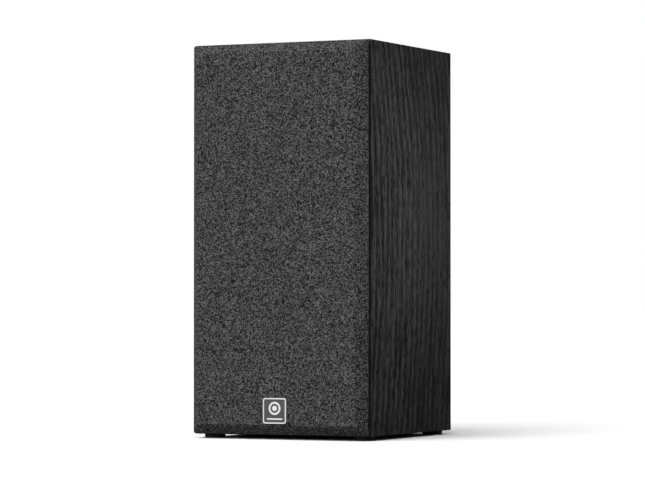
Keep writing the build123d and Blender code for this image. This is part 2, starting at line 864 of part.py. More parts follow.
with BuildPart() as tweeter_faceplate:
    with BuildSketch(profile_plane(tweeter_z)):
        with BuildLine():
            Polyline(
                (dish_radius, 0),
                (tweeter_radius, 0),
                (tweeter_radius, faceplate_thick),
                (hub_radius, faceplate_thick),
                (hub_radius, tweeter_plate_depth),
                (dome_land_radius + seat_clearance, tweeter_plate_depth),
                (dome_land_radius + seat_clearance, diaphragm_depth),
                (throat_radius, diaphragm_depth),
                (throat_radius, dish_depth),
            )
            ThreePointArc(
                (throat_radius, dish_depth),
                (throat_radius + 0.4 * (dish_radius - throat_radius), 0.36 * dish_depth),
                (dish_radius, 0),
            )
        make_face()
    revolve(axis=depth_axis(tweeter_z))
    with Locations(front_plane(baffle_front, tweeter_z)):
        with PolarLocations(tweeter_screw_circle, driver_screws_each, 45):
            CounterBoreHole(
                screw_radius + screw_hole_clearance,
                screw_head_radius + screw_recess_clearance,
                screw_recess_depth,
                depth=faceplate_thick,
            )

with BuildPart() as tweeter_dome:
    cap(dome_radius, dome_rise, dome_thick, diaphragm_depth, 0, tweeter_z)
    ring(front_plane(baffle_front + diaphragm_depth, tweeter_z), dome_radius, former_inner, dome_former_length)

with BuildPart() as tweeter_surround:
    with BuildSketch(profile_plane(tweeter_z)):
        roll_profile(
            dome_radius, roll_start, roll_end, dome_land_radius, diaphragm_depth, dome_roll_rise, dome_thick
        )
    revolve(axis=depth_axis(tweeter_z))

with BuildPart() as tweeter_coil:
    ring(
        front_plane(baffle_front + dome_coil_middle - dome_coil_length / 2, tweeter_z),
        dome_coil_radius,
        dome_radius,
        dome_coil_length,
    )

with BuildPart() as tweeter_top_plate:
    ring(
        front_plane(baffle_front + tweeter_plate_depth, tweeter_z),
        tweeter_plate_radius,
        dome_coil_radius + coil_gap,
        tweeter_plate_thick,
    )

with BuildPart() as tweeter_magnet:
    ring(
        front_plane(baffle_front + tweeter_plate_depth + tweeter_plate_thick, tweeter_z),
        tweeter_magnet_radius,
        tweeter_magnet_bore,
        tweeter_magnet_thick,
    )
    chamfer(tweeter_magnet.edges().filter_by(GeomType.CIRCLE).group_by(SortBy.RADIUS)[-1], 0.6)

with BuildPart() as tweeter_yoke:
    yoke(
        tweeter_z,
        former_inner - pole_gap,
        pole_vent_radius / 2,
        tweeter_plate_depth + 1.2,
        tweeter_yoke_depth,
        tweeter_plate_radius,
        tweeter_yoke_thick,
        yoke_chamfer / 2,
    )

with BuildPart() as tweeter_screws:
    screw_set(baffle_front, tweeter_z, tweeter_screw_circle)

# ---------------------------------------------------------------- tags and gaskets of the drivers
tweeter_tag_places = [(side * tag_pitch / 2, tweeter_z) for side in (-1, 1)]
tweeter_tag_y = baffle_front + tweeter_back


def tag_blades(mode):
    """Add, or cut the slots for, the flat blades that the driver's leads are fixed to."""
    for x, z in tag_places:
        with Locations((x, baffle_front + tag_board_depth - 1 + tag_length / 2, z)):
            Box(tag_thick, tag_length, tag_width, mode=mode)
    for x, z in tweeter_tag_places:
        with Locations((x, tweeter_tag_y + tag_length / 2, z)):
            Box(tag_width, tag_length, tag_thick, mode=mode)


with BuildPart() as driver_tag_boards:
    board_inner = basket_outside(tag_board_depth) + 0.4
    with Locations(
        ((board_inner + flange_inner) / 2, baffle_front + tag_board_depth + tag_board_thick / 2, woofer_z)
    ):
        Box(flange_inner - board_inner, tag_board_thick, tab_width)
    with Locations((0, tweeter_tag_y + tag_board_thick / 2, tweeter_z)):
        Box(tag_board_length, tag_board_thick, tag_board_length / 2)
    tag_blades(Mode.SUBTRACT)

cup_screw_plane = Plane((0, rear_face, cup_z), x_dir=(1, 0, 0), z_dir=(0, 1, 0))

with BuildPart() as foam_gaskets:
    ring(
        front_plane(baffle_front + woofer_flange_thick, woofer_z),
        woofer_radius - cut_clearance,
        flange_inner + 2 * cut_clearance,
        gasket_thick,
    )
    ring(
        front_plane(baffle_front + faceplate_thick, tweeter_z),
        tweeter_radius - cut_clearance,
        hub_radius + 2 * cut_clearance,
        gasket_thick,
    )
    with BuildSketch(cup_screw_plane):
        RectangleRounded(
            cup_width + 2 * cup_flange_margin, cup_height + 2 * cup_flange_margin, cup_flange_corner
        )
        RectangleRounded(cup_cut_width, cup_cut_height, cup_corner_radius + cup_wall, mode=Mode.SUBTRACT)
    extrude(amount=cup_gasket_thick)
    gasket_hole = screw_radius + screw_hole_clearance
    with Locations(front_plane(baffle_front + woofer_flange_thick, woofer_z)):
        with PolarLocations(woofer_screw_circle, driver_screws_each, 45):
            Hole(gasket_hole, depth=gasket_thick)
    with Locations(front_plane(baffle_front + faceplate_thick, tweeter_z)):
        with PolarLocations(tweeter_screw_circle, driver_screws_each, 45):
            Hole(gasket_hole, depth=gasket_thick)
    with Locations(cup_screw_plane.offset(cup_gasket_thick)):
        with GridLocations(*cup_screw_grid, 2, 2):
            Hole(gasket_hole, depth=cup_gasket_thick)

# ---------------------------------------------------------------- reflex port
with BuildPart() as port_tube:
    mouth = port_flange_thick
    flare_centre = (port_radius + port_flare, mouth - port_flare)
    with BuildSketch(profile_plane(port_z, y=rear_face)):
        with BuildLine():
            Polyline(
                (port_radius + port_flare, mouth),
                (port_flange_radius - 1, mouth),
                (port_flange_radius, mouth - 1),
                (port_flange_radius, 0),
                (port_neck_radius, 0),
                (port_neck_radius, -port_flange_thick),
                (port_radius + port_wall, -port_flare - 1),
                (port_radius + port_wall, mouth - port_length),
                (port_radius, mouth - port_length),
                (port_radius, flare_centre[1]),
            )
            ThreePointArc(
                (port_radius, flare_centre[1]),
                (flare_centre[0] - port_flare * 0.5**0.5, flare_centre[1] + port_flare * 0.5**0.5),
                (port_radius + port_flare, mouth),
            )
        make_face()
    revolve(axis=depth_axis(port_z))

# ---------------------------------------------------------------- connection panel
cup_face = rear_face + rear_proud
cup_floor_y = cup_face - cup_depth
posts = {"red": -post_spacing / 2, "black": post_spacing / 2}


def back_plane(y, z, x=0.0):
    """A plane across the cabinet that faces the back: its x is -X and its y is +Z."""
    return Plane((x, y, z), x_dir=(-1, 0, 0), z_dir=(0, 1, 0))


with BuildPart() as terminal_cup:
    with BuildSketch(back_plane(rear_face + cup_gasket_thick, cup_z)):
        RectangleRounded(
            cup_width + 2 * cup_flange_margin, cup_height + 2 * cup_flange_margin, cup_flange_corner
        )
    extrude(amount=cup_flange_thick)
    chamfer(terminal_cup.faces().sort_by(Axis.Y)[-1].edges(), 0.6)
    with BuildSketch(back_plane(cup_floor_y - cup_floor, cup_z)):
        RectangleRounded(cup_width + 2 * cup_wall, cup_height + 2 * cup_wall, cup_corner_radius + cup_wall)
    extrude(amount=cup_depth + cup_floor - 1)
    with BuildSketch(back_plane(cup_face, cup_z)):
        RectangleRounded(cup_width, cup_height, cup_corner_radius)
    extrude(amount=-cup_depth, mode=Mode.SUBTRACT)
    with Locations(*[back_plane(cup_floor_y, cup_z, x) for x in posts.values()]):
        Hole(stud_radius + pilot_clearance, depth=cup_floor)
    with Locations(back_plane(cup_face, cup_z)):
        with GridLocations(*cup_screw_grid, 2, 2):
            CounterSinkHole(screw_radius + screw_hole_clearance, screw_head_radius + 0.2, depth=cup_flange_thick)

with BuildPart() as terminal_screws:
    cup_screw_gap = 0.2
    for x, up in [(p.position.X, p.position.Y) for p in GridLocations(*cup_screw_grid, 2, 2)]:
        turned(
            [
                (0, -cup_screw_gap - 1.0),
                (drive_socket_radius, -cup_screw_gap - 1.0),
                (drive_socket_radius, -cup_screw_gap),
                (screw_head_radius, -cup_screw_gap),
                (screw_radius, -cup_screw_gap - screw_head_radius + screw_radius),
                (screw_radius, 1 - screw_length),
                (0, -screw_length),
            ],
            cup_z + up,
            x,
            cup_face,
        )



def post_parts(x):
    """Build one binding post's stud, collar, washer, nut, lock nut and solder tag at x."""
    floor_back = cup_floor_y - cup_floor
    with BuildPart() as stud:
        with BuildSketch(back_plane(cup_floor_y - stud_back, cup_z, x)) as rod:
            Circle(stud_radius)
        extrude(rod.sketch, amount=stud_back + stud_front)
        with Locations(back_plane(cup_floor_y + stud_front, cup_z, x)):
            Hole(plug_bore_radius, depth=plug_bore_depth)
        wire_hole = Plane((x, cup_floor_y + collar_thick + wire_hole_radius, cup_z + stud_radius))
        with Locations(wire_hole):
            Hole(wire_hole_radius, depth=2 * stud_radius)
    with BuildPart() as collar:
        ring(back_plane(cup_floor_y + collar_thick, cup_z, x), collar_radius, stud_radius, collar_thick)
    with BuildPart() as washer:
        washer_back = cup_floor_y + collar_thick + post_face_gap + washer_thick
        washer_bore = stud_radius + thread_clearance
        ring(back_plane(washer_back, cup_z, x), washer_radius, washer_bore, washer_thick)
    with BuildPart() as nut:
        with BuildSketch(back_plane(washer_back + post_face_gap, cup_z, x)) as grip:
            Circle(nut_radius)
            Circle(washer_bore, mode=Mode.SUBTRACT)
            with PolarLocations(nut_radius + flute_radius / 3, nut_flutes):
                Circle(flute_radius, mode=Mode.SUBTRACT)
        extrude(grip.sketch, amount=nut_length)
    with BuildPart() as lock_nut:
        with BuildSketch(front_plane(floor_back - tag_thick, cup_z, x)) as hexagon:
            RegularPolygon(lock_nut_radius, 6)
            Circle(stud_radius, mode=Mode.SUBTRACT)
        extrude(hexagon.sketch, amount=lock_nut_thick)
    with BuildPart() as solder_tag:
        with BuildSketch(front_plane(floor_back, cup_z, x)) as blade:
            Circle(solder_tag_radius)
            with Locations((0, -solder_tag_length / 2)):
                Rectangle(tag_width, solder_tag_length)
            Circle(stud_radius, mode=Mode.SUBTRACT)
        extrude(blade.sketch, amount=tag_thick)
    return stud, collar, washer, nut, lock_nut, solder_tag


post_sets = {colour: post_parts(x) for colour, x in posts.items()}

with BuildPart() as post_studs:
    for post in post_sets.values():
        add(post[0].part)

with BuildPart() as post_lock_nuts:
    for post in post_sets.values():
        add(post[4].part)

with BuildPart() as lead_tags:
    tag_blades(Mode.ADD)
    for post in post_sets.values():
        add(post[5].part)

# ---------------------------------------------------------------- crossover
board_low = inner_bottom + standoff_height
board_top = board_low + board_thick


def on_board(u, v, up=0.0):
    """A point above the board, from its middle."""
    return (u, board_centre_y + v, board_top + up)


with BuildPart() as crossover_board:
    with BuildSketch(Plane((0, board_centre_y, board_low))):
        RectangleRounded(board_width, board_depth, 2)
        with GridLocations(*board_hole_grid, 2, 2):
            Circle(screw_radius + screw_hole_clearance, mode=Mode.SUBTRACT)
    extrude(amount=board_thick)

with BuildPart() as crossover_standoffs:
    with BuildSketch(Plane((0, board_centre_y, inner_bottom))):
        with GridLocations(*board_hole_grid, 2, 2):
            Circle(standoff_radius)
            Circle(screw_radius + screw_hole_clearance, mode=Mode.SUBTRACT)
    extrude(amount=standoff_height)

with BuildPart() as crossover_screws:
    with BuildSketch(Plane((0, board_centre_y, board_top - screw_length))):
        with GridLocations(*board_hole_grid, 2, 2):
            Circle(screw_radius)
    extrude(amount=screw_length)
    with BuildSketch(Plane((0, board_centre_y, board_top))):
        with GridLocations(*board_hole_grid, 2, 2):
            Circle(screw_head_radius)
    extrude(amount=screw_head_thick)
    with BuildSketch(Plane((0, board_centre_y, board_top + screw_head_thick))):
        with GridLocations(*board_hole_grid, 2, 2):
            RegularPolygon(drive_socket_radius, 6)
    extrude(amount=-screw_head_thick / 2, mode=Mode.SUBTRACT)

coil_places = [(-22, 14), (24, -14)]
tube_places = [(-19, -18), (19, 18)]
block_places = [(-22, -30.5), (20, 30.5)]


def axial_leads(u, v, length, up):
    """Add the two wires that carry a component lying along the board."""
    for side in (-1, 1):
        end = u + side * length / 2
        wire([(end, *on_board(0, v, up)[1:]), (end + side * 2, *on_board(0, v, up)[1:]),
              (end + side * 2, *on_board(0, v)[1:])], component_wire_radius)


with BuildPart() as inductors:
    for u, v in coil_places:
        with BuildSketch(Plane(on_board(u, v))) as winding:
            Circle(inductor_radius)
            Circle(inductor_bore, mode=Mode.SUBTRACT)
        extrude(winding.sketch, amount=inductor_height)
    fillet(inductors.edges().filter_by(GeomType.CIRCLE).group_by(Axis.Z)[-1], 1.5)

with BuildPart() as capacitors:
    for u, v in tube_places:
        up = capacitor_radius + component_lift
        axis_plane = Plane((u - capacitor_length / 2, *on_board(0, v, up)[1:]), z_dir=(1, 0, 0))
        with BuildSketch(axis_plane) as tube:
            Circle(capacitor_radius)
        extrude(tube.sketch, amount=capacitor_length)
    chamfer(capacitors.edges().filter_by(GeomType.CIRCLE), 0.8)
    for u, v in tube_places:
        axial_leads(u, v, capacitor_length, capacitor_radius + component_lift)

with BuildPart() as resistors:
    for u, v in block_places:
        with Locations(on_board(u, v, component_lift + resistor_side / 2)):
            Box(resistor_length, resistor_side, resistor_side)
    for u, v in block_places:
        axial_leads(u, v, resistor_length, component_lift + resistor_side / 2)


# ---------------------------------------------------------------- internal leads
def inner_leads(colour):
    """Add one colour's three leads: panel to crossover, crossover to woofer, crossover to tweeter."""
    side = -1 if colour == "red" else 1
    blade_y = cup_floor_y - cup_floor - tag_thick
    blade_z = cup_z - solder_tag_length + 2
    post_x = posts[colour]
    end_v = board_depth / 2 - 6
    wire([(post_x, blade_y, blade_z), (post_x, blade_y - 12, blade_z),
          on_board(side * 4, end_v, blade_z - board_top - 2), on_board(side * 4, end_v)], lead_radius)
    tag_end = baffle_front + tag_board_depth - 1 + tag_length
    woofer_tag = tag_places[1] if colour == "red" else tag_places[0]
    back_y = tag_end + (16 if colour == "red" else 9)
    board_v = 2 if colour == "red" else -7
    wire([on_board(board_width / 2 - 5, board_v), on_board(board_width / 2 - 5, board_v, 22),
          (woofer_tag[0], back_y, woofer_tag[1] - 28), (woofer_tag[0], back_y, woofer_tag[1]),
          (woofer_tag[0], tag_end, woofer_tag[1])], lead_radius)
    tweeter_tag = tweeter_tag_places[0] if colour == "red" else tweeter_tag_places[1]
    rise_x = -window_half_width + (8 if colour == "red" else 14)
    rise_y = baffle_front + yoke_depth + yoke_thick + (12 if colour == "red" else 16)
    start_v = 2 if colour == "red" else 12
    blade_end = tweeter_tag_y + tag_length
    turn_y = blade_end + 9
    wire([on_board(-board_width / 2 + 5, start_v), on_board(-board_width / 2 + 5, start_v, 24),
          (rise_x, rise_y, brace_z - 60), (rise_x, rise_y, brace_z + 14),
          (tweeter_tag[0], turn_y, tweeter_tag[1]), (tweeter_tag[0], blade_end, tweeter_tag[1])], lead_radius)


with BuildPart() as red_leads:
    inner_leads("red")

with BuildPart() as black_leads:
    inner_leads("black")

# ---------------------------------------------------------------- files
pieces = {
    "left_side_panel": side_panel_left,
    "right_side_panel": side_panel_right,
    "top_panel": top_panel,
    "bottom_panel": bottom_panel,
    "front_baffle": front_baffle,
    "rear_panel": rear_panel,
    "vinyl_wrap": vinyl_wrap,
    "shelf_brace": shelf_brace,
    "corner_battens": corner_battens,
    "damping_wadding": wadding_pads,
    "rubber_feet": rubber_feet,
    "grille_frame": grille_frame,
    "grille_cloth": grille_cloth,
    "grille_pegs": grille_pegs,
    "peg_sockets": peg_sockets,
    "badge_plate": badge_plate,
    "badge_trim": badge_trim,
    "woofer_basket": woofer_basket,
    "woofer_trim_ring": woofer_trim_ring,
    "woofer_surround": woofer_surround,
    "woofer_cone": woofer_cone,
    "woofer_dust_cap": woofer_dust_cap,
    "woofer_spider": woofer_spider,
    "woofer_coil_former": woofer_coil_former,
    "woofer_voice_coil": woofer_voice_coil,
    "woofer_top_plate": woofer_top_plate,
    "woofer_magnet": woofer_magnet,
    "woofer_yoke": woofer_yoke,
    "woofer_tinsel_leads": woofer_tinsel_leads,
    "woofer_screws": woofer_screws,
    "tweeter_faceplate": tweeter_faceplate,
    "tweeter_dome": tweeter_dome,
    "tweeter_surround": tweeter_surround,
    "tweeter_coil": tweeter_coil,
    "tweeter_top_plate": tweeter_top_plate,
    "tweeter_magnet": tweeter_magnet,
    "tweeter_yoke": tweeter_yoke,
    "tweeter_screws": tweeter_screws,
    "driver_tag_boards": driver_tag_boards,
    "foam_gaskets": foam_gaskets,
    "port_tube": port_tube,
    "terminal_cup": terminal_cup,
    "terminal_screws": terminal_screws,
    "post_studs": post_studs,
    "post_lock_nuts": post_lock_nuts,
    "lead_tags": lead_tags,
    "crossover_board": crossover_board,
    "crossover_standoffs": crossover_standoffs,
    "crossover_screws": crossover_screws,
    "inductors": inductors,
    "capacitors": capacitors,
    "resistors": resistors,
    "red_leads": red_leads,
    "black_leads": black_leads,
}
for colour, (_, post_collar, post_washer, post_nut, _, _) in post_sets.items():
    pieces[f"post_collar_{colour}"] = post_collar
    pieces[f"post_washer_{colour}"] = post_washer
    pieces[f"post_nut_{colour}"] = post_nut

for name, piece in pieces.items():
    piece.part.label = name
    export_step(piece.part, f"parts/{name}.step")
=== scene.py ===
"""A two-way bookshelf loudspeaker: its finishes, its soft pieces and a plain studio round it."""

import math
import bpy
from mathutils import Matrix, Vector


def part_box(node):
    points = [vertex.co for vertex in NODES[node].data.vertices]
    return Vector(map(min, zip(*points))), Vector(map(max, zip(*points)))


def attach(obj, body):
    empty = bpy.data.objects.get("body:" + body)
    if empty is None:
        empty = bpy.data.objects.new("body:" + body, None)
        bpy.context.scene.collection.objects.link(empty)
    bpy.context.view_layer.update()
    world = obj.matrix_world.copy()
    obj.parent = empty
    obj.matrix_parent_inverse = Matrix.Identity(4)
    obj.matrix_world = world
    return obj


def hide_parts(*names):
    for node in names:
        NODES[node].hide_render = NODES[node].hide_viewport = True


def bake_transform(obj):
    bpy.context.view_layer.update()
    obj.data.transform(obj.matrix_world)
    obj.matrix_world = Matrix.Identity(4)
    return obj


bl_info = {
    "name": "Bookshelf Loudspeaker",
    "version": (1, 0, 0),
    "blender": (4, 5, 0),
    "location": "View3D > Sidebar > Speaker",
    "description": "Finishes a bookshelf loudspeaker and builds its cloth, rubber and wadding",
    "category": "Object",
}

import bmesh
import bpy
import numpy as np
from bpy.props import FloatProperty, FloatVectorProperty, IntProperty, PointerProperty
from mathutils import Vector

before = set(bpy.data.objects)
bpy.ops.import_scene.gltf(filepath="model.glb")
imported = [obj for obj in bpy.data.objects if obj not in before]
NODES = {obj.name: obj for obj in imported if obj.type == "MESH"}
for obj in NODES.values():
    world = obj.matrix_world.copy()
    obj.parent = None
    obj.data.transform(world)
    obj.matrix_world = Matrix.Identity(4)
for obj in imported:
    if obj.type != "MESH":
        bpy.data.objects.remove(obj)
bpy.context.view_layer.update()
MM = 0.001


# ------------------------------------------------------------------ shader writing
class Value:
    """A shader socket that takes part in Python arithmetic."""

    def __init__(self, paint, socket):
        self.paint = paint
        self.socket = socket

    def _math(self, operation, first, second):
        return self.paint.node("ShaderNodeMath", {"operation": operation}, {0: first, 1: second})[0]

    def __add__(self, other):
        return self._math("ADD", self, other)

    __radd__ = __add__

    def __sub__(self, other):
        return self._math("SUBTRACT", self, other)

    def __rsub__(self, other):
        return self._math("SUBTRACT", other, self)

    def __mul__(self, other):
        return self._math("MULTIPLY", self, other)

    __rmul__ = __mul__

    def __truediv__(self, other):
        return self._math("DIVIDE", self, other)

    def __pow__(self, other):
        return self._math("POWER", self, other)

    def __abs__(self):
        return self._math("ABSOLUTE", self, 0.0)

    def __gt__(self, other):
        return self._math("GREATER_THAN", self, other)

    def __lt__(self, other):
        return self._math("LESS_THAN", self, other)

    def sine(self):
        return self._math("SINE", self, 0.0)


class Made:
    """A node's outputs, by place or by name."""

    def __init__(self, paint, node):
        self.paint = paint
        self.made = node

    def __getitem__(self, key):
        return Value(self.paint, self.made.outputs[key])


class Paint:
    """A material being written, one node at a time."""

    def __init__(self, name):
        self.material = bpy.data.materials.new(name)
        self.material.use_nodes = True
        self.tree = self.material.node_tree
        self.tree.nodes.clear()
        self.shader = self.tree.nodes.new("ShaderNodeBsdfPrincipled")
        output = self.tree.nodes.new("ShaderNodeOutputMaterial")
        self.tree.links.new(self.shader.outputs[0], output.inputs[0])
        self.place = self.node("ShaderNodeTexCoord")["Object"]

    def node(self, kind, settings=None, values=None):
        """Add a node with its settings first, then the numbers or links of its sockets."""
        node = self.tree.nodes.new(kind)
        for name, value in (settings or {}).items():
            if name == "stops":
                ramp = node.color_ramp
                while len(ramp.elements) < len(value):
                    ramp.elements.new(0.5)
                for element, (position, colour) in zip(ramp.elements, value):
                    element.position = position
                    element.color = (*colour, 1.0)
            else:
                setattr(node, name, value)
        for key, value in (values or {}).items():
            self.feed(node.inputs[key], value)
        return Made(self, node)

    def feed(self, socket, value):
        """Link a value to a socket, or set the socket to a number or colour."""
        if isinstance(value, Value):
            self.tree.links.new(value.socket, socket)
        elif isinstance(value, (tuple, list)) and socket.type == "RGBA":
            socket.default_value = (*value, 1.0)
        else:
            socket.default_value = value

    def set(self, **sockets):
        """Set the shader's sockets, named with underscores for spaces."""
        for name, value in sockets.items():
            self.feed(self.shader.inputs[name.replace("_", " ")], value)

    def axes(self, place=None):
        parts = self.node("ShaderNodeSeparateXYZ", None, {0: place or self.place})
        return parts[0], parts[1], parts[2]

    def point(self, x, y, z):
        return self.node("ShaderNodeCombineXYZ", None, {0: x, 1: y, 2: z})[0]

    def noise(self, scale, detail=2.0, rough=0.5, place=None, distortion=0.0):
        values = {"Vector": place or self.place, "Scale": scale, "Detail": detail, "Roughness": rough,
                  "Distortion": distortion}
        return self.node("ShaderNodeTexNoise", None, values)[0]

    def cells(self, scale, place=None, output="Color", feature="F1"):
        values = {"Vector": place or self.place, "Scale": scale}
        return self.node("ShaderNodeTexVoronoi", {"feature": feature}, values)[output]

    def ramp(self, factor, *stops):
        return self.node("ShaderNodeValToRGB", {"stops": stops}, {0: factor})[0]

    def span(self, value, low, high, to_low=0.0, to_high=1.0, smooth=False):
        """Stretch the values from low to high over the values from to_low to to_high."""
        kind = "SMOOTHSTEP" if smooth else "LINEAR"
        values = {0: value, 1: low, 2: high, 3: to_low, 4: to_high}
        return self.node("ShaderNodeMapRange", {"interpolation_type": kind}, values)[0]

    def mix(self, factor, first, second):
        return self.node("ShaderNodeMix", {"data_type": "RGBA"}, {0: factor, 6: first, 7: second})[2]

    @staticmethod
    def between(first, second, share):
        """A colour part of the way from the first to the second."""
        return tuple(a + (b - a) * share for a, b in zip(first, second))

    def bump(self, height, depth, strength=1.0):
        values = {"Strength": strength, "Distance": depth, "Height": height}
        return self.node("ShaderNodeBump", None, values)[0]

    def normal_axes(self):
        return self.axes(self.node("ShaderNodeTexCoord")["Normal"])

    def radius_from(self, centre):
        """The distance from a front-to-back axis."""
        x, _, z = self.axes()
        dx, dz = x - centre[0], z - centre[1]
        return (dx * dx + dz * dz) ** 0.5

    @staticmethod
    def wave(value, pitch):
        """An even wave of the given pitch, from 0 to 1."""
        return (value * (2 * math.pi / pitch)).sine() * 0.5 + 0.5

    @staticmethod
    def weave(first, second, pitch):
        """The highs and lows of a plain weave in two directions, from 0 to 1."""
        turn = 2 * math.pi / pitch
        return (first * turn).sine() * (second * turn).sine() * 0.5 + 0.5


def shade(colour, amount):
    """The colour made lighter or darker by a factor."""
    return tuple(min(1.0, max(0.0, c * amount)) for c in colour)


# ------------------------------------------------------------------ finishes
def moulded(name, colour, roughness=0.45, grain=0.4 * MM, depth=0.02 * MM, coat=0.0):
    """Moulded plastic or rubber: a fine grain, slight mottling and a few scuffs."""
    p = Paint(name)
    mottle = p.noise(60.0, 4.0, 0.6)
    fine = p.noise(1.0 / grain, 2.0)
    scuff = p.span(p.noise(9.0, 6.0, 0.7), 0.56, 0.7)
    tone = p.ramp(mottle, (0.3, shade(colour, 0.86)), (0.7, shade(colour, 1.16)))
    p.set(
        Base_Color=p.mix(scuff * 0.12, tone, shade(colour, 1.8)),
        Roughness=p.span(mottle + scuff * 0.3, 0.3, 0.9, roughness - 0.05, roughness + 0.12),
        Normal=p.bump(fine, depth),
        Coat_Weight=coat,
    )
    return p.material


def rubbery(name, colour):
    """Soft matt rubber with a dusty bloom."""
    p = Paint(name)
    bloom = p.span(p.noise(45.0, 5.0, 0.65), 0.35, 0.75)
    p.set(
        Base_Color=p.mix(bloom * 0.5, shade(colour, 0.8), shade(colour, 1.9)),
        Roughness=p.span(bloom, 0.0, 1.0, 0.62, 0.86),
        Normal=p.bump(p.noise(2600.0, 3.0), 0.03 * MM),
        Specular_IOR_Level=0.35,
    )
    return p.material


def turned_metal(name, colour, roughness=0.28, centre=(0.0, 0.0), pitch=0.3 * MM):
    """Turned or plated metal: fine rings about a front-to-back axis, and faint clouding."""
    p = Paint(name)
    rings = p.noise(1.0 / pitch, 2.0, 0.5, p.point(p.radius_from(centre), 0.0, 0.0))
    cloud = p.noise(70.0, 4.0)
    p.set(
        Base_Color=p.ramp(cloud, (0.3, shade(colour, 0.85)), (0.7, shade(colour, 1.08))),
        Metallic=1.0,
        Roughness=p.span(cloud + rings * 0.5, 0.4, 1.1, roughness - 0.08, roughness + 0.14),
        Normal=p.bump(rings, 0.02 * MM),
    )
    return p.material


def powder_coated(name, colour, roughness=0.45):
    """Powder-coated metal: an orange-peel skin, worn a little lighter at its edges."""
    p = Paint(name)
    worn = p.span(p.node("ShaderNodeNewGeometry")["Pointiness"], 0.54, 0.62)
    peel = p.noise(900.0, 2.0)
    tone = p.ramp(p.noise(40.0, 3.0), (0.3, shade(colour, 0.9)), (0.7, shade(colour, 1.15)))
    p.set(
        Base_Color=p.mix(worn * 0.35, tone, shade(colour, 3.5)),
        Roughness=p.span(peel, 0.3, 0.7, roughness, roughness + 0.12),
        Normal=p.bump(peel, 0.04 * MM),
    )
    return p.material


def fibreboard(p):
    """The colour and height of a raw fibreboard face, as a pair."""
    fibre = p.noise(1100.0, 5.0, 0.7)
    cloud = p.noise(38.0, 4.0, 0.6)
    fleck = p.cells(900.0, output="Distance") < 0.12
    tone = p.ramp(fibre * 0.7 + cloud * 0.3, (0.32, (0.22, 0.125, 0.062)), (0.7, (0.46, 0.31, 0.175)))
    return p.mix(fleck * 0.55, tone, (0.13, 0.07, 0.035)), fibre


def painted_board(name, colour, low, high):
    """Fibreboard painted black outside the span of depths from low to high, and raw within it."""
    p = Paint(name)
    _, y, _ = p.axes()
    raw, fibre = fibreboard(p)
    inside = (y > low) * (y < high)
    peel = p.noise(700.0, 3.0)
    black = p.ramp(p.noise(30.0, 4.0), (0.3, shade(colour, 0.85)), (0.7, shade(colour, 1.2)))
    p.set(
        Base_Color=p.mix(inside, black, raw),
        Roughness=p.span(peel, 0.3, 0.7, 0.42, 0.56) * (1 - inside) + 0.8 * inside,
        Normal=p.bump(peel * (1 - inside) + fibre * inside, 0.05 * MM),
    )
    return p.material


def ash_vinyl(name, dark, light, spacing):
    """Embossed black ash: wavy figure down the sides and front to back on the top and bottom."""
    p = Paint(name)
    bow_height, sway_width, pore_width = 170 * MM, 6 * MM, 0.8 * MM
    x, y, z = p.axes()
    side = abs(p.normal_axes()[0]) > 0.5
    across = y * side + x * (1 - side)
    along = z * side + (y + 0.2) * (1 - side)
    # The streaks bow backwards: they lean back as they fall, and lean forward again low down.
    bow = along - bow_height
    upper = bow > 0

    def streaks(crossways, lengthways, seed, rough=0.5):
        """Noise drawn out along the grain, different on the sides and on the top."""
        return p.noise(1.0, 2.0, rough, p.point(crossways, along * lengthways, side * seed))

    sway = streaks(across * 18.0, 12.0, 3.0) - 0.5
    drift = across + bow * bow * (upper * 0.55 + 0.45) + sway * sway_width
    # Painted shade: this mask blends the figure a little towards a flat darker tone towards the back of each
    # side, and towards the right on the top and bottom.
    rear = p.span(across, -0.01, 0.035, smooth=True)
    warp = streaks(drift * 60.0, 12.0, 5.0) - 0.5
    line = (drift * (2 * math.pi / spacing) + warp * 5.0).sine() * 0.5 + 0.5
    broad = streaks(drift / (spacing * 0.38), 20.0, 7.0)
    fine = streaks(drift / (spacing * 0.17), 42.0, 11.0)
    figure = line * 0.13 + broad * 0.4 + fine * 0.47
    patch = p.span(streaks(across * 20.0, 9.0, 17.0), 0.34, 0.6, 0.6, 1.0)
    crest = 1 - (1 - p.span(figure, 0.38, 0.61)) * patch
    # Short open pores crowd together in the streaks and thin out between them.
    pores = streaks(drift / pore_width, 130.0, 13.0, 0.55)
    open_pore = p.span(0.61 - crest * 0.17 - pores, -0.03, 0.05)
    tone = p.ramp(crest, (0.0, p.between(dark, light, 0.12)), (1.0, light))
    tone = p.mix(open_pore * 0.9, tone, dark)
    height = crest * 0.35 + (1 - open_pore) * 0.65
    p.set(
        Base_Color=p.mix(rear * 0.35, tone, p.between(dark, light, 0.2)),
        Roughness=p.span(height, 0.0, 1.0, 0.75, 0.55),
        Normal=p.bump(height, 0.1 * MM, 0.8),
        Specular_IOR_Level=0.12,
    )
    return p.material


def heather_cloth(name, dark, mid, light, yarn, face):
    """Speckled cloth: dark and light yarn flecks over a tight plain weave, with its face at a depth."""
    p = Paint(name)
    x, y, z = p.axes()
    nx, _, nz = p.normal_axes()
    # The weave runs on round the bevels, so the fall behind the face joins the axis that turns.
    fall = y - face
    u = x + fall * ((nx > 0.3) - (nx < -0.3))
    v = z + fall * ((nz > 0.3) - (nz < -0.3))
    fleck = p.axes(p.cells(1.0 / yarn))[0]
    knot = p.axes(p.cells(1.45 / yarn))[1]
    fibre = p.noise(2.4 / yarn, 2.0, 0.6)
    speck = fleck * 0.5 + knot * 0.28 + fibre * 0.22
    weave = p.weave(u, v, yarn * 0.8)
    tone = p.ramp(speck, (0.26, dark), (0.5, mid), (0.74, light))
    p.set(
        Base_Color=p.mix((1 - weave) * 0.3, tone, dark),
        Roughness=p.span(fibre, 0.3, 0.7, 0.84, 0.96),
        Normal=p.bump(weave * 0.5 + speck * 0.5, 0.4 * MM, 0.9),
        Specular_IOR_Level=0.08,
    )
    return p.material


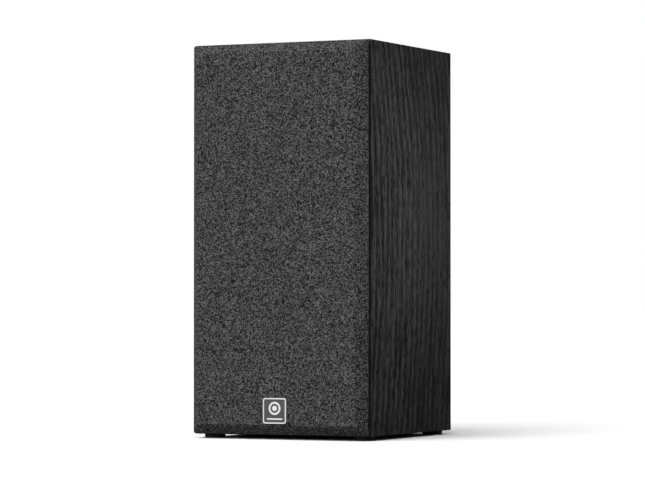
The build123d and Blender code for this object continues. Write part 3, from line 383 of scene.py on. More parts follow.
def woven(name, colour, pitch, roughness=0.8, coat=0.0):
    """A plain woven or fibrous sheet."""
    p = Paint(name)
    x, _, z = p.axes()
    weave = p.weave(x, z, pitch)
    fibre = p.noise(900.0, 3.0, 0.6)
    mingled = weave * 0.5 + fibre * 0.5
    p.set(
        Base_Color=p.ramp(mingled, (0.25, shade(colour, 0.65)), (0.75, shade(colour, 1.2))),
        Roughness=p.span(fibre, 0.3, 0.7, roughness - 0.05, min(0.98, roughness + 0.08)),
        Normal=p.bump(weave * 0.7 + fibre * 0.3, 0.1 * MM),
        Coat_Weight=coat,
    )
    return p.material


def fluffy(name, colour):
    """Loose white fibre."""
    p = Paint(name)
    strand = p.noise(260.0, 8.0, 0.75, distortion=2.2)
    p.set(
        Base_Color=p.ramp(strand, (0.3, shade(colour, 0.62)), (0.65, colour)),
        Roughness=0.95,
        Normal=p.bump(strand, 1.2 * MM, 0.8),
        Sheen_Weight=0.3,
    )
    return p.material


def pulp_cone(name, colour, centre):
    """A pressed cone: soft fibre clouds and faint turned rings."""
    p = Paint(name)
    rings = p.wave(p.radius_from(centre), 1.6 * MM)
    fibre = p.noise(520.0, 6.0, 0.7, distortion=1.2)
    p.set(
        Base_Color=p.ramp(fibre, (0.3, shade(colour, 0.7)), (0.7, shade(colour, 1.4))),
        Roughness=p.span(fibre, 0.3, 0.7, 0.5, 0.68),
        Normal=p.bump(fibre * 0.6 + rings * 0.4, 0.06 * MM),
    )
    return p.material


def winding(name, colour, pitch):
    """Enamelled wire wound in close turns."""
    p = Paint(name)
    _, y, z = p.axes()
    turns = p.wave(y + z, pitch)
    p.set(
        Base_Color=p.ramp(turns, (0.0, shade(colour, 0.4)), (0.6, colour)),
        Metallic=0.9,
        Roughness=p.span(p.noise(300.0, 2.0), 0.3, 0.7, 0.24, 0.36),
        Normal=p.bump(turns, 0.12 * MM),
        Coat_Weight=0.5,
    )
    return p.material


def ferrite(name, colour):
    """A pressed and ground magnet, dusty in places."""
    p = Paint(name)
    grain = p.noise(1500.0, 4.0, 0.7)
    dust = p.span(p.noise(55.0, 4.0, 0.6), 0.45, 0.75)
    tone = p.ramp(grain, (0.3, shade(colour, 0.7)), (0.7, shade(colour, 1.3)))
    p.set(
        Base_Color=p.mix(dust * 0.4, tone, shade(colour, 2.4)),
        Roughness=p.span(grain, 0.3, 0.7, 0.5, 0.72),
        Normal=p.bump(grain, 0.05 * MM),
    )
    return p.material


def sawn_timber(name, colour):
    """Planed softwood with its grain upright."""
    p = Paint(name)
    x, y, z = p.axes()
    grain = p.noise(1.0, 4.0, 0.6, p.point(x * 700.0, y * 700.0, z * 24.0))
    p.set(
        Base_Color=p.ramp(grain, (0.3, shade(colour, 0.6)), (0.7, shade(colour, 1.15))),
        Roughness=p.span(grain, 0.3, 0.7, 0.66, 0.82),
        Normal=p.bump(grain, 0.1 * MM),
    )
    return p.material


def circuit_board(name, colour):
    """Lacquered laminate with broad copper tracks under the green."""
    p = Paint(name)
    x, y, _ = p.axes()
    track = p.cells(75.0, p.point(x, y, 0.0), "Distance", "DISTANCE_TO_EDGE") > 0.07
    weave = p.noise(1400.0, 2.0)
    p.set(
        Base_Color=p.mix(track * 0.7, shade(colour, 0.6), shade(colour, 1.5)),
        Roughness=p.span(weave, 0.3, 0.7, 0.24, 0.36),
        Normal=p.bump(track * 0.8 + weave * 0.2, 0.05 * MM),
        Coat_Weight=0.4,
    )
    return p.material


def badge_field(name, colour):
    """Brushed and lacquered metal, with its brushing across the badge."""
    p = Paint(name)
    x, _, z = p.axes()
    sweep = p.noise(1.0, 3.0, 0.5, p.point(x * 2600.0, 0.0, z * 40.0))
    p.set(
        Base_Color=p.ramp(sweep, (0.3, shade(colour, 0.8)), (0.7, shade(colour, 1.3))),
        Metallic=0.55,
        Roughness=p.span(sweep, 0.3, 0.7, 0.34, 0.46),
        Coat_Weight=0.3,
    )
    return p.material


def badge_metal(name, colour):
    """Satin silver with a very fine grain."""
    p = Paint(name)
    satin = p.noise(1900.0, 3.0)
    p.set(
        Base_Color=p.ramp(satin, (0.3, shade(colour, 0.92)), (0.7, shade(colour, 1.06))),
        Metallic=0.35,
        Roughness=p.span(satin, 0.3, 0.7, 0.3, 0.42),
        Normal=p.bump(satin, 0.01 * MM),
    )
    return p.material


def studio_floor(name, bounce, seen):
    """A matt white sheet that throws back less light than it shows."""
    p = Paint(name)
    straight = p.node("ShaderNodeLightPath")["Is Camera Ray"]
    p.set(
        Base_Color=p.mix(straight, bounce, seen),
        Roughness=p.span(p.noise(40.0, 3.0), 0.3, 0.7, 0.93, 0.95),
        Specular_IOR_Level=0.0,
    )
    return p.material


def finish(material, *names):
    """Give a material to CAD nodes."""
    for name in names:
        slots = NODES[name].data.materials
        slots.clear()
        slots.append(material)


# ------------------------------------------------------------------ mesh building
def new_object(name, points, faces, material, smooth=True):
    """A mesh object in the scene, with one material."""
    mesh = bpy.data.meshes.new(name)
    mesh.from_pydata([tuple(p) for p in points], [], faces)
    mesh.validate()
    made = bpy.data.objects.new(name, mesh)
    bpy.context.scene.collection.objects.link(made)
    made.data.materials.append(material)
    if smooth:
        mesh.shade_smooth()
    return made


def tidy_normals(made):
    """Turn every face of a closed mesh outwards."""
    work = bmesh.new()
    work.from_mesh(made.data)
    bmesh.ops.recalc_face_normals(work, faces=work.faces)
    work.to_mesh(made.data)
    work.free()
    return made


def applied(made, kind, **settings):
    """Add a modifier and apply it."""
    modifier = made.modifiers.new(kind.title(), kind)
    for name, value in settings.items():
        setattr(modifier, name, value)
    graph = bpy.context.evaluated_depsgraph_get()
    mesh = bpy.data.meshes.new_from_object(made.evaluated_get(graph))
    made.modifiers.clear()
    made.data = mesh
    return made


def ring_faces(rings, count, closed=False):
    """Faces between loops of points that each hold the same count, back to the first loop if closed."""
    faces = []
    for ring in range(rings if closed else rings - 1):
        here, after = ring * count, (ring + 1) % rings * count
        for k in range(count):
            n = (k + 1) % count
            faces.append((here + k, here + n, after + n, after + k))
    return faces


def lathe(name, profile, centre, material, segments):
    """Turn a closed profile of (radius, depth) about a front-to-back axis."""
    rim = [(math.cos(a), math.sin(a)) for a in np.linspace(0, 2 * math.pi, segments, endpoint=False)]
    points = [(centre[0] + r * c, y, centre[1] + r * n) for r, y in profile for c, n in rim]
    return tidy_normals(new_object(name, points, ring_faces(len(profile), segments, closed=True), material))


def arc(centre, radii, start, end, steps):
    """Points along part of an ellipse, in degrees."""
    angles = np.radians(np.linspace(start, end, steps))
    return [(centre[0] + radii[0] * math.cos(a), centre[1] + radii[1] * math.sin(a)) for a in angles]


def thick_line(line, thick):
    """Close an open profile into a band of even thickness, behind the line."""
    line = np.array(line)
    along = np.gradient(line, axis=0)
    along /= np.linalg.norm(along, axis=1)[:, None]
    behind = line + np.stack([-along[:, 1], along[:, 0]], axis=1) * thick
    return [tuple(p) for p in line] + [tuple(p) for p in behind[::-1]]


def stretch_between(made, weights):
    """Bake the ring's transform into its mesh; the weights, one for each point, are not used."""
    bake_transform(made)


def eased(share):
    """A share held between 0 and 1, with a gentle start and end."""
    share = min(1.0, max(0.0, share))
    return share * share * (3 - 2 * share)


def radial_weights(made, centre, inner, outer):
    """1 at the inner radius and 0 at the outer one, eased."""
    points = [vertex.co for vertex in made.data.vertices]
    return [eased((outer - math.hypot(p.x - centre[0], p.z - centre[1])) / (outer - inner)) for p in points]


def rounded_loop(half_x, low, high, radius, y, corner=6, run=10):
    """A loop of points round a rounded rectangle that faces the front."""
    points = []
    corners = [(half_x, high, 0), (-half_x, high, 90), (-half_x, low, 180), (half_x, low, 270)]
    for index, (x, z, turn) in enumerate(corners):
        cx, cz = x - math.copysign(radius, x), z - (radius if z == high else -radius)
        for a in np.radians(np.linspace(turn, turn + 90, corner)):
            points.append((cx + radius * math.cos(a), y, cz + radius * math.sin(a)))
        nx, nz, _ = corners[(index + 1) % 4]
        ex, ez = nx - math.copysign(radius, nx), nz - (radius if nz == high else -radius)
        a = math.radians(turn + 90)
        start = Vector(points[-1])
        end = Vector((ex + radius * math.cos(a), y, ez + radius * math.sin(a)))
        points += [tuple(start.lerp(end, k / run)) for k in range(1, run)]
    return points


def centre_of(node):
    """The middle of a CAD node as seen from the front."""
    lo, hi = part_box(node)
    return ((lo.x + hi.x) / 2, (lo.z + hi.z) / 2)


def radius_of(node):
    """Half the width of a round CAD node."""
    lo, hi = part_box(node)
    return (hi.x - lo.x) / 2


def roll_line(inner, roll_inner, roll_outer, outer, front, tip, lands, steps):
    """A half-round roll between two flat lands, as (radius, depth) from the inside out."""
    crest = ((roll_inner + roll_outer) / 2, front)
    radii = ((roll_outer - roll_inner) / 2, front - tip)
    line = [(inner, front), (roll_inner - lands[0], front)]
    line += arc(crest, radii, 180, 360, steps)
    return line + [(roll_outer + lands[1], front), (outer, front)]


WOOFER = centre_of("woofer_cone")
TWEETER = centre_of("tweeter_dome")

# The cloth: its thickness, the frame's bevel, and the corner radius at its edge and on its face.
CLOTH_THICK = 0.5 * MM
BEVEL_IN, BEVEL_DEEP = 7.3 * MM, 8.0 * MM
CORNER_MOST, CORNER_LEAST, CORNER_FALL, CORNER_FACE = 1.6 * MM, 0.35 * MM, 0.05, 0.5 * MM

RUBBER = (0.012, 0.012, 0.0125)
FOAM = (0.03, 0.03, 0.031)
PINE = (0.58, 0.4, 0.22)
WADDING = (0.78, 0.78, 0.75)
SCREW_BLACK = (0.03, 0.03, 0.032)
FERRITE = (0.05, 0.05, 0.054)
PAPER = (0.04, 0.04, 0.042)
CAP_BLACK = (0.022, 0.022, 0.023)
AMBER_FILM = (0.5, 0.27, 0.09)
SPIDER_CLOTH = (0.58, 0.37, 0.13)
BRAID = (0.62, 0.36, 0.18)
DOME_CLOTH = (0.03, 0.03, 0.034)
TINNED = (0.75, 0.64, 0.42)
TAG_LAMINATE = (0.33, 0.15, 0.05)
BOARD_GREEN = (0.04, 0.2, 0.08)
NYLON = (0.8, 0.79, 0.74)
CAPACITOR_YELLOW = (0.62, 0.42, 0.07)
CEMENT = (0.74, 0.71, 0.63)
LEAD_RED = (0.48, 0.014, 0.014)
LEAD_BLACK = (0.02, 0.02, 0.021)


# ------------------------------------------------------------------ settings
def length_setting(name, description, default):
    return FloatProperty(name=name, description=description, default=default, unit="LENGTH", precision=5)


def colour_setting(name, description, default):
    return FloatVectorProperty(name=name, description=description, default=default, subtype="COLOR")


def level_setting(name, description, default):
    return FloatProperty(name=name, description=description, default=default)


class SpeakerSizes(bpy.types.PropertyGroup):
    """Sizes of the soft pieces and of the surface figure"""

    yarn: length_setting("Yarn", "Width of one yarn fleck of the grille cloth", 0.75 * MM)
    cloth_round: length_setting("Cloth edge", "Radius of the cloth where it turns an edge", 0.9 * MM)
    cloth_tuck: length_setting("Cloth tuck", "Width of cloth glued to the back of the frame", 8.0 * MM)
    grain_spacing: length_setting("Grain spacing", "Distance between the streaks of the ash figure", 9.4 * MM)
    loft: length_setting("Wadding loft", "How far the wadding bulges between its edges", 1.6 * MM)
    segments: IntProperty(name="Round segments", description="Sides of the turned soft parts",
                          default=144, min=32)


class SpeakerColours(bpy.types.PropertyGroup):
    """Colours that repeat or that set the speaker's look"""

    cloth_dark: colour_setting("Dark yarn", "Darkest yarn of the grille cloth", (0.003, 0.003, 0.0033))
    cloth_mid: colour_setting("Mid yarn", "Commonest yarn of the grille cloth", (0.038, 0.038, 0.0405))
    cloth_light: colour_setting("Light yarn", "Lightest yarn of the grille cloth", (0.178, 0.178, 0.188))
    vinyl_dark: colour_setting("Vinyl groove", "Colour in the grooves of the figure", (0.003, 0.003, 0.0033))
    vinyl_light: colour_setting("Vinyl crest", "Colour on the crests of the figure", (0.069, 0.069, 0.075))
    black: colour_setting("Black", "Black of the moulded parts", (0.018, 0.018, 0.019))
    paint: colour_setting("Baffle paint", "Black paint of the front and rear panels", (0.015, 0.015, 0.016))
    badge: colour_setting("Badge field", "Field of the badge", (0.062, 0.062, 0.064))
    silver: colour_setting("Badge metal", "Rim and mark of the badge", (0.7, 0.7, 0.71))
    post_red: colour_setting("Red post", "Plastic of the red post", (0.5, 0.012, 0.012))
    gold: colour_setting("Plating", "Gold plating of the posts", (0.83, 0.62, 0.27))
    steel: colour_setting("Steel", "Zinc-plated steel of the motors", (0.58, 0.59, 0.6))
    copper: colour_setting("Copper", "Enamelled copper wire", (0.7, 0.3, 0.13))


class SpeakerStudio(bpy.types.PropertyGroup):
    """The camera and the lights"""

    yaw: FloatProperty(name="Yaw", description="How far round to the right the camera stands",
                       default=math.radians(25.74), subtype="ANGLE")
    pitch: FloatProperty(name="Pitch", description="How far the camera looks up", default=math.radians(1.2),
                         subtype="ANGLE")
    stand: FloatVectorProperty(name="Stand point", description="Where the camera stands",
                               default=(1.0728, -2.1938, 0.10167), subtype="TRANSLATION")
    shift: FloatVectorProperty(name="Shift", description="Lens shift", size=2, default=(-0.02645, -0.0018))
    lens: level_setting("Lens", "Focal length in millimetres", 174.0)
    sun: level_setting("Overhead light", "Strength of the broad light overhead", 3.1)
    fill: level_setting("Front light", "Power of the light from the front left", 34.0)
    side: level_setting("Side light", "Power of the narrow spot on the right side", 62.0)
    sky: level_setting("Surround", "Strength of the even surround light", 0.24)


# ------------------------------------------------------------------ operators
class SPEAKER_OT_cabinet(bpy.types.Operator):
    """Finish the panels, the wrap, the feet and what is glued inside"""

    bl_idname = "speaker.cabinet"
    bl_label = "Cabinet"

    def execute(self, context):
        sizes, colours = context.scene.speaker_sizes, context.scene.speaker_colours
        paint_deep = 1.5 * MM
        front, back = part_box("front_baffle")[0].y + paint_deep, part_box("rear_panel")[1].y - paint_deep
        board = painted_board("painted_board", tuple(colours.paint), front, back)
        finish(board, "left_side_panel", "right_side_panel", "top_panel", "bottom_panel", "shelf_brace",
               "front_baffle", "rear_panel")
        dark, light = tuple(colours.vinyl_dark), tuple(colours.vinyl_light)
        finish(ash_vinyl("black_ash_vinyl", dark, light, sizes.grain_spacing), "vinyl_wrap")
        finish(rubbery("foot_rubber", RUBBER), "rubber_feet", "peg_sockets")
        finish(sawn_timber("sawn_pine", PINE), "corner_battens")
        finish(rubbery("closed_cell_foam", FOAM), "foam_gaskets")
        return {"FINISHED"}


class SPEAKER_OT_wadding(bpy.types.Operator):
    """Build the loose wadding pads in place of their plain blocks"""

    bl_idname = "speaker.wadding"
    bl_label = "Wadding"

    def execute(self, context):
        loft = context.scene.speaker_sizes.loft
        source = NODES["damping_wadding"]
        made = new_object("wadding_pads", [v.co.copy() for v in source.data.vertices],
                          [tuple(f.vertices) for f in source.data.polygons],
                          fluffy("wadding_fibre", WADDING))
        voxel = 3.2 * MM
        broad, tight = (130, 118, 104), (411, 377, 395)
        applied(made, "REMESH", mode="VOXEL", voxel_size=voxel)
        applied(made, "SMOOTH", factor=0.6, iterations=7)
        for vertex in made.data.vertices:
            x, y, z = vertex.co
            swell = math.sin(x * broad[0] + 1) * math.sin(y * broad[1] + 2) * math.sin(z * broad[2] + 3)
            ripple = math.sin(x * tight[0]) * math.sin(y * tight[1] + 1) * math.sin(z * tight[2] + 2)
            vertex.co += vertex.normal * (loft * 0.25 * swell - loft * 0.35 + loft * 0.2 * ripple)
        made.data.shade_smooth()
        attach(made, "cabinet")
        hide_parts("damping_wadding")
        return {"FINISHED"}


class SPEAKER_OT_grille(bpy.types.Operator):
    """Stretch the cloth over the frame and finish the frame, pegs and badge"""

    bl_idname = "speaker.grille"
    bl_label = "Grille"

    def execute(self, context):
        sizes, colours = context.scene.speaker_sizes, context.scene.speaker_colours
        black = tuple(colours.black)
        self.cover(sizes, colours)
        finish(moulded("grille_plastic", black, 0.5, coat=0.05), "grille_frame", "grille_pegs")
        finish(badge_field("badge_field", tuple(colours.badge)), "badge_plate")
        finish(badge_metal("badge_metal", tuple(colours.silver)), "badge_trim")
        return {"FINISHED"}

    def cover(self, sizes, colours):
        """Build the cloth as one skin over the face, the bevels and the sides, tucked in behind."""
        lo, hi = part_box("grille_cloth")
        half, low, high = (hi.x - lo.x) / 2, lo.z, hi.z
        section = self.section(lo.y, hi.y, sizes)
        points = []
        for inset, y in section:
            corner = CORNER_FACE
            if inset < BEVEL_IN * 2:
                corner = max(CORNER_LEAST, CORNER_MOST - inset * CORNER_FALL)
            points += rounded_loop(half - inset, low + inset, high - inset, corner, y)
        count = len(points) // len(section)
        face = tuple(range(count - 1, -1, -1))
        cloth = heather_cloth("speckled_cloth", tuple(colours.cloth_dark), tuple(colours.cloth_mid),
                              tuple(colours.cloth_light), sizes.yarn, lo.y)
        made = new_object("cloth_cover", points, ring_faces(len(section), count) + [face], cloth)
        work = bmesh.new()
        work.from_mesh(made.data)
        if next(f for f in work.faces if len(f.verts) == count).normal.y > 0:
            bmesh.ops.reverse_faces(work, faces=work.faces)
        work.to_mesh(made.data)
        work.free()
        applied(made, "SOLIDIFY", thickness=CLOTH_THICK, offset=-1.0)
        made.data.shade_smooth()
        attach(made, "grille")
        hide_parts("grille_cloth")

    def section(self, front, back, sizes):
        """The cloth from its face to its tuck, as (inset from the edge, depth), with its corners rounded."""
        corners = [(BEVEL_IN + 30 * MM, front), (BEVEL_IN, front), (0.0, front + BEVEL_DEEP), (0.0, back),
                   (sizes.cloth_tuck, back)]
        section = [corners[0], (BEVEL_IN + 12 * MM, front), (BEVEL_IN + 4 * MM, front)]
        for before, corner, after in zip(corners, corners[1:], corners[2:]):
            b, c, a = Vector(before), Vector(corner), Vector(after)
            reach = min(sizes.cloth_round, (b - c).length * 0.4, (a - c).length * 0.4)
            start, end = c + (b - c).normalized() * reach, c + (a - c).normalized() * reach
            for t in np.linspace(0, 1, 6):
                section.append(tuple((1 - t) ** 2 * start + 2 * t * (1 - t) * c + t * t * end))
            if corner[0] == BEVEL_IN:
                section.append(tuple((c + a) / 2))
        return section + [corners[-1]]


class SPEAKER_OT_woofer(bpy.types.Operator):
    """Finish the woofer, and build its surround, spider and tinsel leads"""

    bl_idname = "speaker.woofer"
    bl_label = "Woofer"

    def execute(self, context):
        sizes, colours = context.scene.speaker_sizes, context.scene.speaker_colours
        black, steel = tuple(colours.black), tuple(colours.steel)
        finish(powder_coated("basket_coating", black), "woofer_basket")
        finish(moulded("trim_plastic", black, 0.5), "woofer_trim_ring")
        finish(pulp_cone("pressed_cone", PAPER, WOOFER), "woofer_cone")
        finish(moulded("cap_plastic", CAP_BLACK, 0.3, depth=0.01 * MM, coat=0.3), "woofer_dust_cap")
        finish(woven("former_film", AMBER_FILM, 1.0 * MM, 0.4, coat=0.3), "woofer_coil_former")
        finish(winding("voice_coil_wire", tuple(colours.copper), 0.6 * MM), "woofer_voice_coil")
        finish(turned_metal("motor_steel", steel, 0.3, WOOFER), "woofer_top_plate", "woofer_yoke")
        finish(ferrite("woofer_ferrite", FERRITE), "woofer_magnet")
        finish(turned_metal("black_screw_steel", SCREW_BLACK, 0.35, WOOFER), "woofer_screws")

        self.surround(sizes, black)
        self.spider(sizes)
        self.leads(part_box("woofer_tinsel_leads"))
        return {"FINISHED"}

    def surround(self, sizes, black):
        """A half-round rubber roll from the basket's seat to the edge of the cone."""
        lo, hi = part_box("woofer_surround")
        thick, land, glued = 0.8 * MM, 3.4 * MM, 2.0 * MM
        outer, inner = radius_of("woofer_surround"), radius_of("woofer_cone")
        roll_outer, front = outer - land, hi.y - thick
        line = roll_line(inner - glued, inner, roll_outer, outer, front, lo.y, (0.8 * MM, 1.2 * MM), 25)
        rubber = rubbery("surround_rubber", black)
        made = lathe("surround_roll", thick_line(line, thick * 0.98), WOOFER, rubber, sizes.segments)
        stretch_between(made, radial_weights(made, WOOFER, inner, roll_outer))
        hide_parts("woofer_surround")

    def spider(self, sizes):
        """A waved cloth disc from the basket's ledge to the coil former."""
        lo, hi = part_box("woofer_spider")
        outer, inner = radius_of("woofer_spider"), radius_of("woofer_coil_former")
        thick, wave, waves = 0.45 * MM, 1.0 * MM, 4
        glued, ledge, spare = 1.6 * MM, 4.0 * MM, 0.6 * MM
        wave_in, wave_out, middle = inner + glued, outer - ledge, (lo.y + hi.y) / 2
        line = [(inner, middle), (wave_in - 0.2 * MM, middle)]
        for r in np.linspace(wave_in, wave_out, 57)[1:-1]:
            share = (r - wave_in) / (wave_out - wave_in)
            line.append((r, middle - wave * math.sin(share * waves * 2 * math.pi)))
        line += [(wave_out + spare, middle), (outer, middle)]
        made = lathe("spider_disc", thick_line(line, thick), WOOFER,
                     woven("spider_cloth", SPIDER_CLOTH, 0.9 * MM, 0.7), sizes.segments)
        stretch_between(made, radial_weights(made, WOOFER, wave_in, wave_out))
        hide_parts("woofer_spider")

    def leads(self, box):
        """Two braided leads from the tag board to the cone, with slack for its travel."""
        lo, hi = box
        thick, braid_radius = 0.6 * MM, 0.55 * MM
        start, end = lo.x + thick, hi.x - thick
        route = [(start, lo.y), (start + 1.6 * MM, lo.y + 3.6 * MM), (start + 7 * MM, lo.y + 5.4 * MM),
                 (end - 2.4 * MM, lo.y + 6.4 * MM), (end, lo.y + 9 * MM), (end, hi.y)]
        curve = bpy.data.curves.new("tinsel_route", "CURVE")
        curve.dimensions = "3D"
        for z in (lo.z + thick, hi.z - thick):
            spline = curve.splines.new("NURBS")
            spline.points.add(len(route) - 1)
            for point, (x, y) in zip(spline.points, route):
                point.co = (x, y, z, 1.0)
            spline.order_u = 3
            spline.use_endpoint_u = True
        curve.bevel_depth = braid_radius
        curve.use_fill_caps = True
        holder = bpy.data.objects.new("tinsel_route", curve)
        mesh = bpy.data.meshes.new_from_object(holder)
        bpy.data.objects.remove(holder)
        made = bpy.data.objects.new("tinsel_pair", mesh)
        bpy.context.scene.collection.objects.link(made)
        mesh.materials.clear()
        mesh.materials.append(woven("tinsel_braid", BRAID, 0.5 * MM, 0.4))
        mesh.shade_smooth()
        still, give = end - 1 * MM, end - start - 3 * MM
        weights = [eased((still - vertex.co.x) / give) for vertex in mesh.vertices]
        stretch_between(made, weights)
        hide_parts("woofer_tinsel_leads")


class SPEAKER_OT_tweeter(bpy.types.Operator):
    """Finish the tweeter and build its surround"""

    bl_idname = "speaker.tweeter"
    bl_label = "Tweeter"

    def execute(self, context):
        sizes, colours = context.scene.speaker_sizes, context.scene.speaker_colours
        black, steel = tuple(colours.black), tuple(colours.steel)
        faceplate = moulded("faceplate_plastic", black, 0.46, grain=0.5 * MM, depth=0.03 * MM)
        finish(faceplate, "tweeter_faceplate")
        coated = woven("dome_cloth", DOME_CLOTH, 0.7 * MM, 0.55, coat=0.4)
        finish(coated, "tweeter_dome")
        finish(winding("dome_coil_wire", tuple(colours.copper), 0.3 * MM), "tweeter_coil")
        finish(turned_metal("tweeter_steel", steel, 0.28, TWEETER), "tweeter_top_plate", "tweeter_yoke")
        finish(ferrite("tweeter_ferrite", FERRITE), "tweeter_magnet")
        finish(turned_metal("tweeter_screw_steel", SCREW_BLACK, 0.35, TWEETER), "tweeter_screws")

        lo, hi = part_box("tweeter_surround")
        thick, land, roll = 0.4 * MM, 0.7 * MM, 3.2 * MM
        outer, inner = radius_of("tweeter_surround"), radius_of("tweeter_dome")
        roll_inner, front = inner + land, hi.y - thick
        roll_outer = roll_inner + roll
        line = roll_line(inner, roll_inner, roll_outer, outer, front, lo.y, (0.2 * MM, 0.4 * MM), 17)
        made = lathe("dome_roll", thick_line(line, thick * 0.95), TWEETER, coated, sizes.segments)
        weights = radial_weights(made, TWEETER, roll_inner, roll_outer)
        stretch_between(made, weights)
        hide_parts("tweeter_surround")
        return {"FINISHED"}


class SPEAKER_OT_back(bpy.types.Operator):
    """Finish the port, the terminal cup and the binding posts"""

    bl_idname = "speaker.back"
    bl_label = "Back"

    def execute(self, context):
        colours = context.scene.speaker_colours
        black, gold = tuple(colours.black), tuple(colours.gold)
        finish(moulded("port_plastic", black, 0.48, grain=0.6 * MM, depth=0.04 * MM), "port_tube")
        finish(moulded("cup_plastic", black, 0.36, grain=0.6 * MM, depth=0.03 * MM, coat=0.1), "terminal_cup")
        cup = centre_of("terminal_cup")
        plating = turned_metal("gold_plating", gold, 0.2, cup)
        finish(plating, "post_studs", "post_washer_red", "post_washer_black", "post_lock_nuts")
        finish(turned_metal("tinned_tags", TINNED, 0.32, cup), "lead_tags")
        finish(turned_metal("cup_screw_steel", SCREW_BLACK, 0.35, cup), "terminal_screws")
        red = tuple(colours.post_red)
        finish(moulded("red_post_plastic", red, 0.3, coat=0.35), "post_nut_red", "post_collar_red")
        finish(moulded("black_post_plastic", black, 0.3, coat=0.35), "post_nut_black", "post_collar_black")
        finish(moulded("tag_laminate", TAG_LAMINATE, 0.5), "driver_tag_boards")
        return {"FINISHED"}


class SPEAKER_OT_crossover(bpy.types.Operator):
    """Finish the crossover and the leads"""

    bl_idname = "speaker.crossover"
    bl_label = "Crossover"

    def execute(self, context):
        colours = context.scene.speaker_colours
        finish(circuit_board("green_laminate", BOARD_GREEN), "crossover_board")
        finish(moulded("standoff_nylon", NYLON, 0.45), "crossover_standoffs")
        finish(turned_metal("board_screw_steel", SCREW_BLACK, 0.35), "crossover_screws")
        finish(winding("choke_wire", tuple(colours.copper), 1.1 * MM), "inductors")
        finish(moulded("capacitor_wrap", CAPACITOR_YELLOW, 0.3, coat=0.4), "capacitors")
        finish(moulded("resistor_cement", CEMENT, 0.75, grain=0.3 * MM, depth=0.06 * MM), "resistors")
        finish(moulded("red_insulation", LEAD_RED, 0.42), "red_leads")
        finish(moulded("black_insulation", LEAD_BLACK, 0.42), "black_leads")
        return {"FINISHED"}


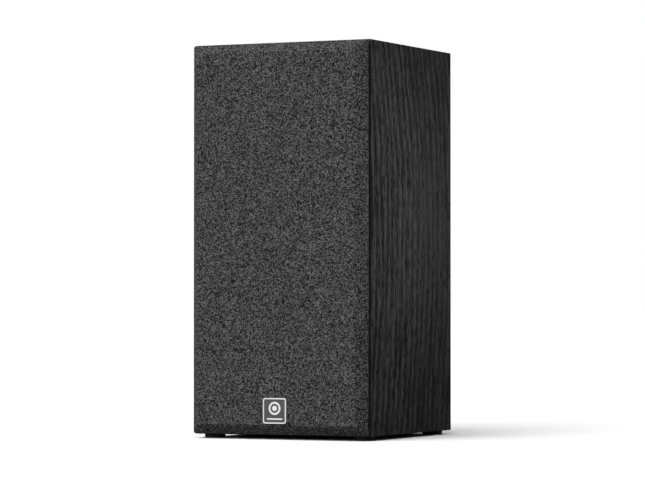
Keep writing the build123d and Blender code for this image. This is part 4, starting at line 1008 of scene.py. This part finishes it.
class SPEAKER_OT_stage(bpy.types.Operator):
    """Set the floor, the lights and the camera"""

    bl_idname = "speaker.stage"
    bl_label = "Stage"

    def execute(self, context):
        studio = context.scene.speaker_studio
        context.scene.view_settings.view_transform = "Standard"
        bounce, shown, reach = (0.26, 0.26, 0.26), (0.94, 0.94, 0.94), 40.0
        corners = [(-reach, -reach, 0), (reach, -reach, 0), (reach, reach, 0), (-reach, reach, 0)]
        floor = new_object("floor", corners, [(0, 1, 2, 3)], studio_floor("studio_floor", bounce, shown),
                           smooth=False)
        origin, middle, bright_spot = (0, 0, 0), (0, 0, 0.16), (0.075, -0.01, 0.19)
        self.lamp("overhead", "SUN", (-0.12, -0.42, 0.9), origin, angle=math.radians(70), energy=studio.sun)
        self.lamp("front", "AREA", (-0.5, -2.4, 0.85), middle, shape="RECTANGLE", size=1.1, size_y=1.1,
                  energy=studio.fill)
        self.lamp("side", "SPOT", (1.9, 0.45, 0.6), bright_spot, spot_size=math.radians(9.5), spot_blend=1.0,
                  shadow_soft_size=0.04, energy=studio.side)
        self.world(studio.sky)
        lens = bpy.data.cameras.new("view")
        lens.lens, lens.sensor_width = studio.lens, 36.0
        lens.shift_x, lens.shift_y = studio.shift
        lens.clip_start, lens.clip_end = 0.05, 60.0
        camera = bpy.data.objects.new("view", lens)
        camera.location = studio.stand
        camera.rotation_euler = (math.pi / 2 + studio.pitch, 0.0, studio.yaw)
        context.scene.collection.objects.link(camera)
        context.scene.camera = camera
        return {"FINISHED"}

    def lamp(self, name, kind, place, aim, **settings):
        """Add a light that points from one place at another."""
        data = bpy.data.lights.new(name, kind)
        for key, value in settings.items():
            setattr(data, key, value)
        lamp = bpy.data.objects.new(name, data)
        lamp.location = place
        lamp.rotation_mode = "QUATERNION"
        lamp.rotation_quaternion = (Vector(aim) - Vector(place)).to_track_quat("-Z", "Y")
        bpy.context.scene.collection.objects.link(lamp)

    def world(self, strength):
        """An even white surround, at full white wherever it is seen straight."""
        world = bpy.data.worlds.new("surround")
        world.use_nodes = True
        bpy.context.scene.world = world
        tree = world.node_tree
        tree.nodes.clear()
        seen, lit = tree.nodes.new("ShaderNodeBackground"), tree.nodes.new("ShaderNodeBackground")
        seen.inputs["Color"].default_value = lit.inputs["Color"].default_value = (1, 1, 1, 1)
        seen.inputs["Strength"].default_value, lit.inputs["Strength"].default_value = 1.0, strength
        rays, mixer = tree.nodes.new("ShaderNodeLightPath"), tree.nodes.new("ShaderNodeMixShader")
        output = tree.nodes.new("ShaderNodeOutputWorld")
        tree.links.new(rays.outputs["Is Camera Ray"], mixer.inputs[0])
        tree.links.new(lit.outputs[0], mixer.inputs[1])
        tree.links.new(seen.outputs[0], mixer.inputs[2])
        tree.links.new(mixer.outputs[0], output.inputs[0])


class SPEAKER_PT_build(bpy.types.Panel):
    """Lists the loudspeaker's pieces and its stage"""

    bl_idname = "SPEAKER_PT_build"
    bl_label = "Bookshelf loudspeaker"
    bl_space_type = "VIEW_3D"
    bl_region_type = "UI"
    bl_category = "Speaker"

    def draw(self, context):
        for operator in OPERATORS:
            self.layout.operator(operator.bl_idname)


OPERATORS = (
    SPEAKER_OT_cabinet,
    SPEAKER_OT_wadding,
    SPEAKER_OT_grille,
    SPEAKER_OT_woofer,
    SPEAKER_OT_tweeter,
    SPEAKER_OT_back,
    SPEAKER_OT_crossover,
    SPEAKER_OT_stage,
)
GROUPS = {"speaker_sizes": SpeakerSizes, "speaker_colours": SpeakerColours, "speaker_studio": SpeakerStudio}


def register():
    for found in (*GROUPS.values(), *OPERATORS, SPEAKER_PT_build):
        bpy.utils.register_class(found)
    for name, group in GROUPS.items():
        setattr(bpy.types.Scene, name, PointerProperty(type=group))


def unregister():
    for name in GROUPS:
        delattr(bpy.types.Scene, name)
    for found in (SPEAKER_PT_build, *reversed(OPERATORS), *GROUPS.values()):
        bpy.utils.unregister_class(found)


def main():
    register()
    for operator in OPERATORS:
        group, call = operator.bl_idname.split(".")
        getattr(getattr(bpy.ops, group), call)()


if __name__ == "__main__":
    main()
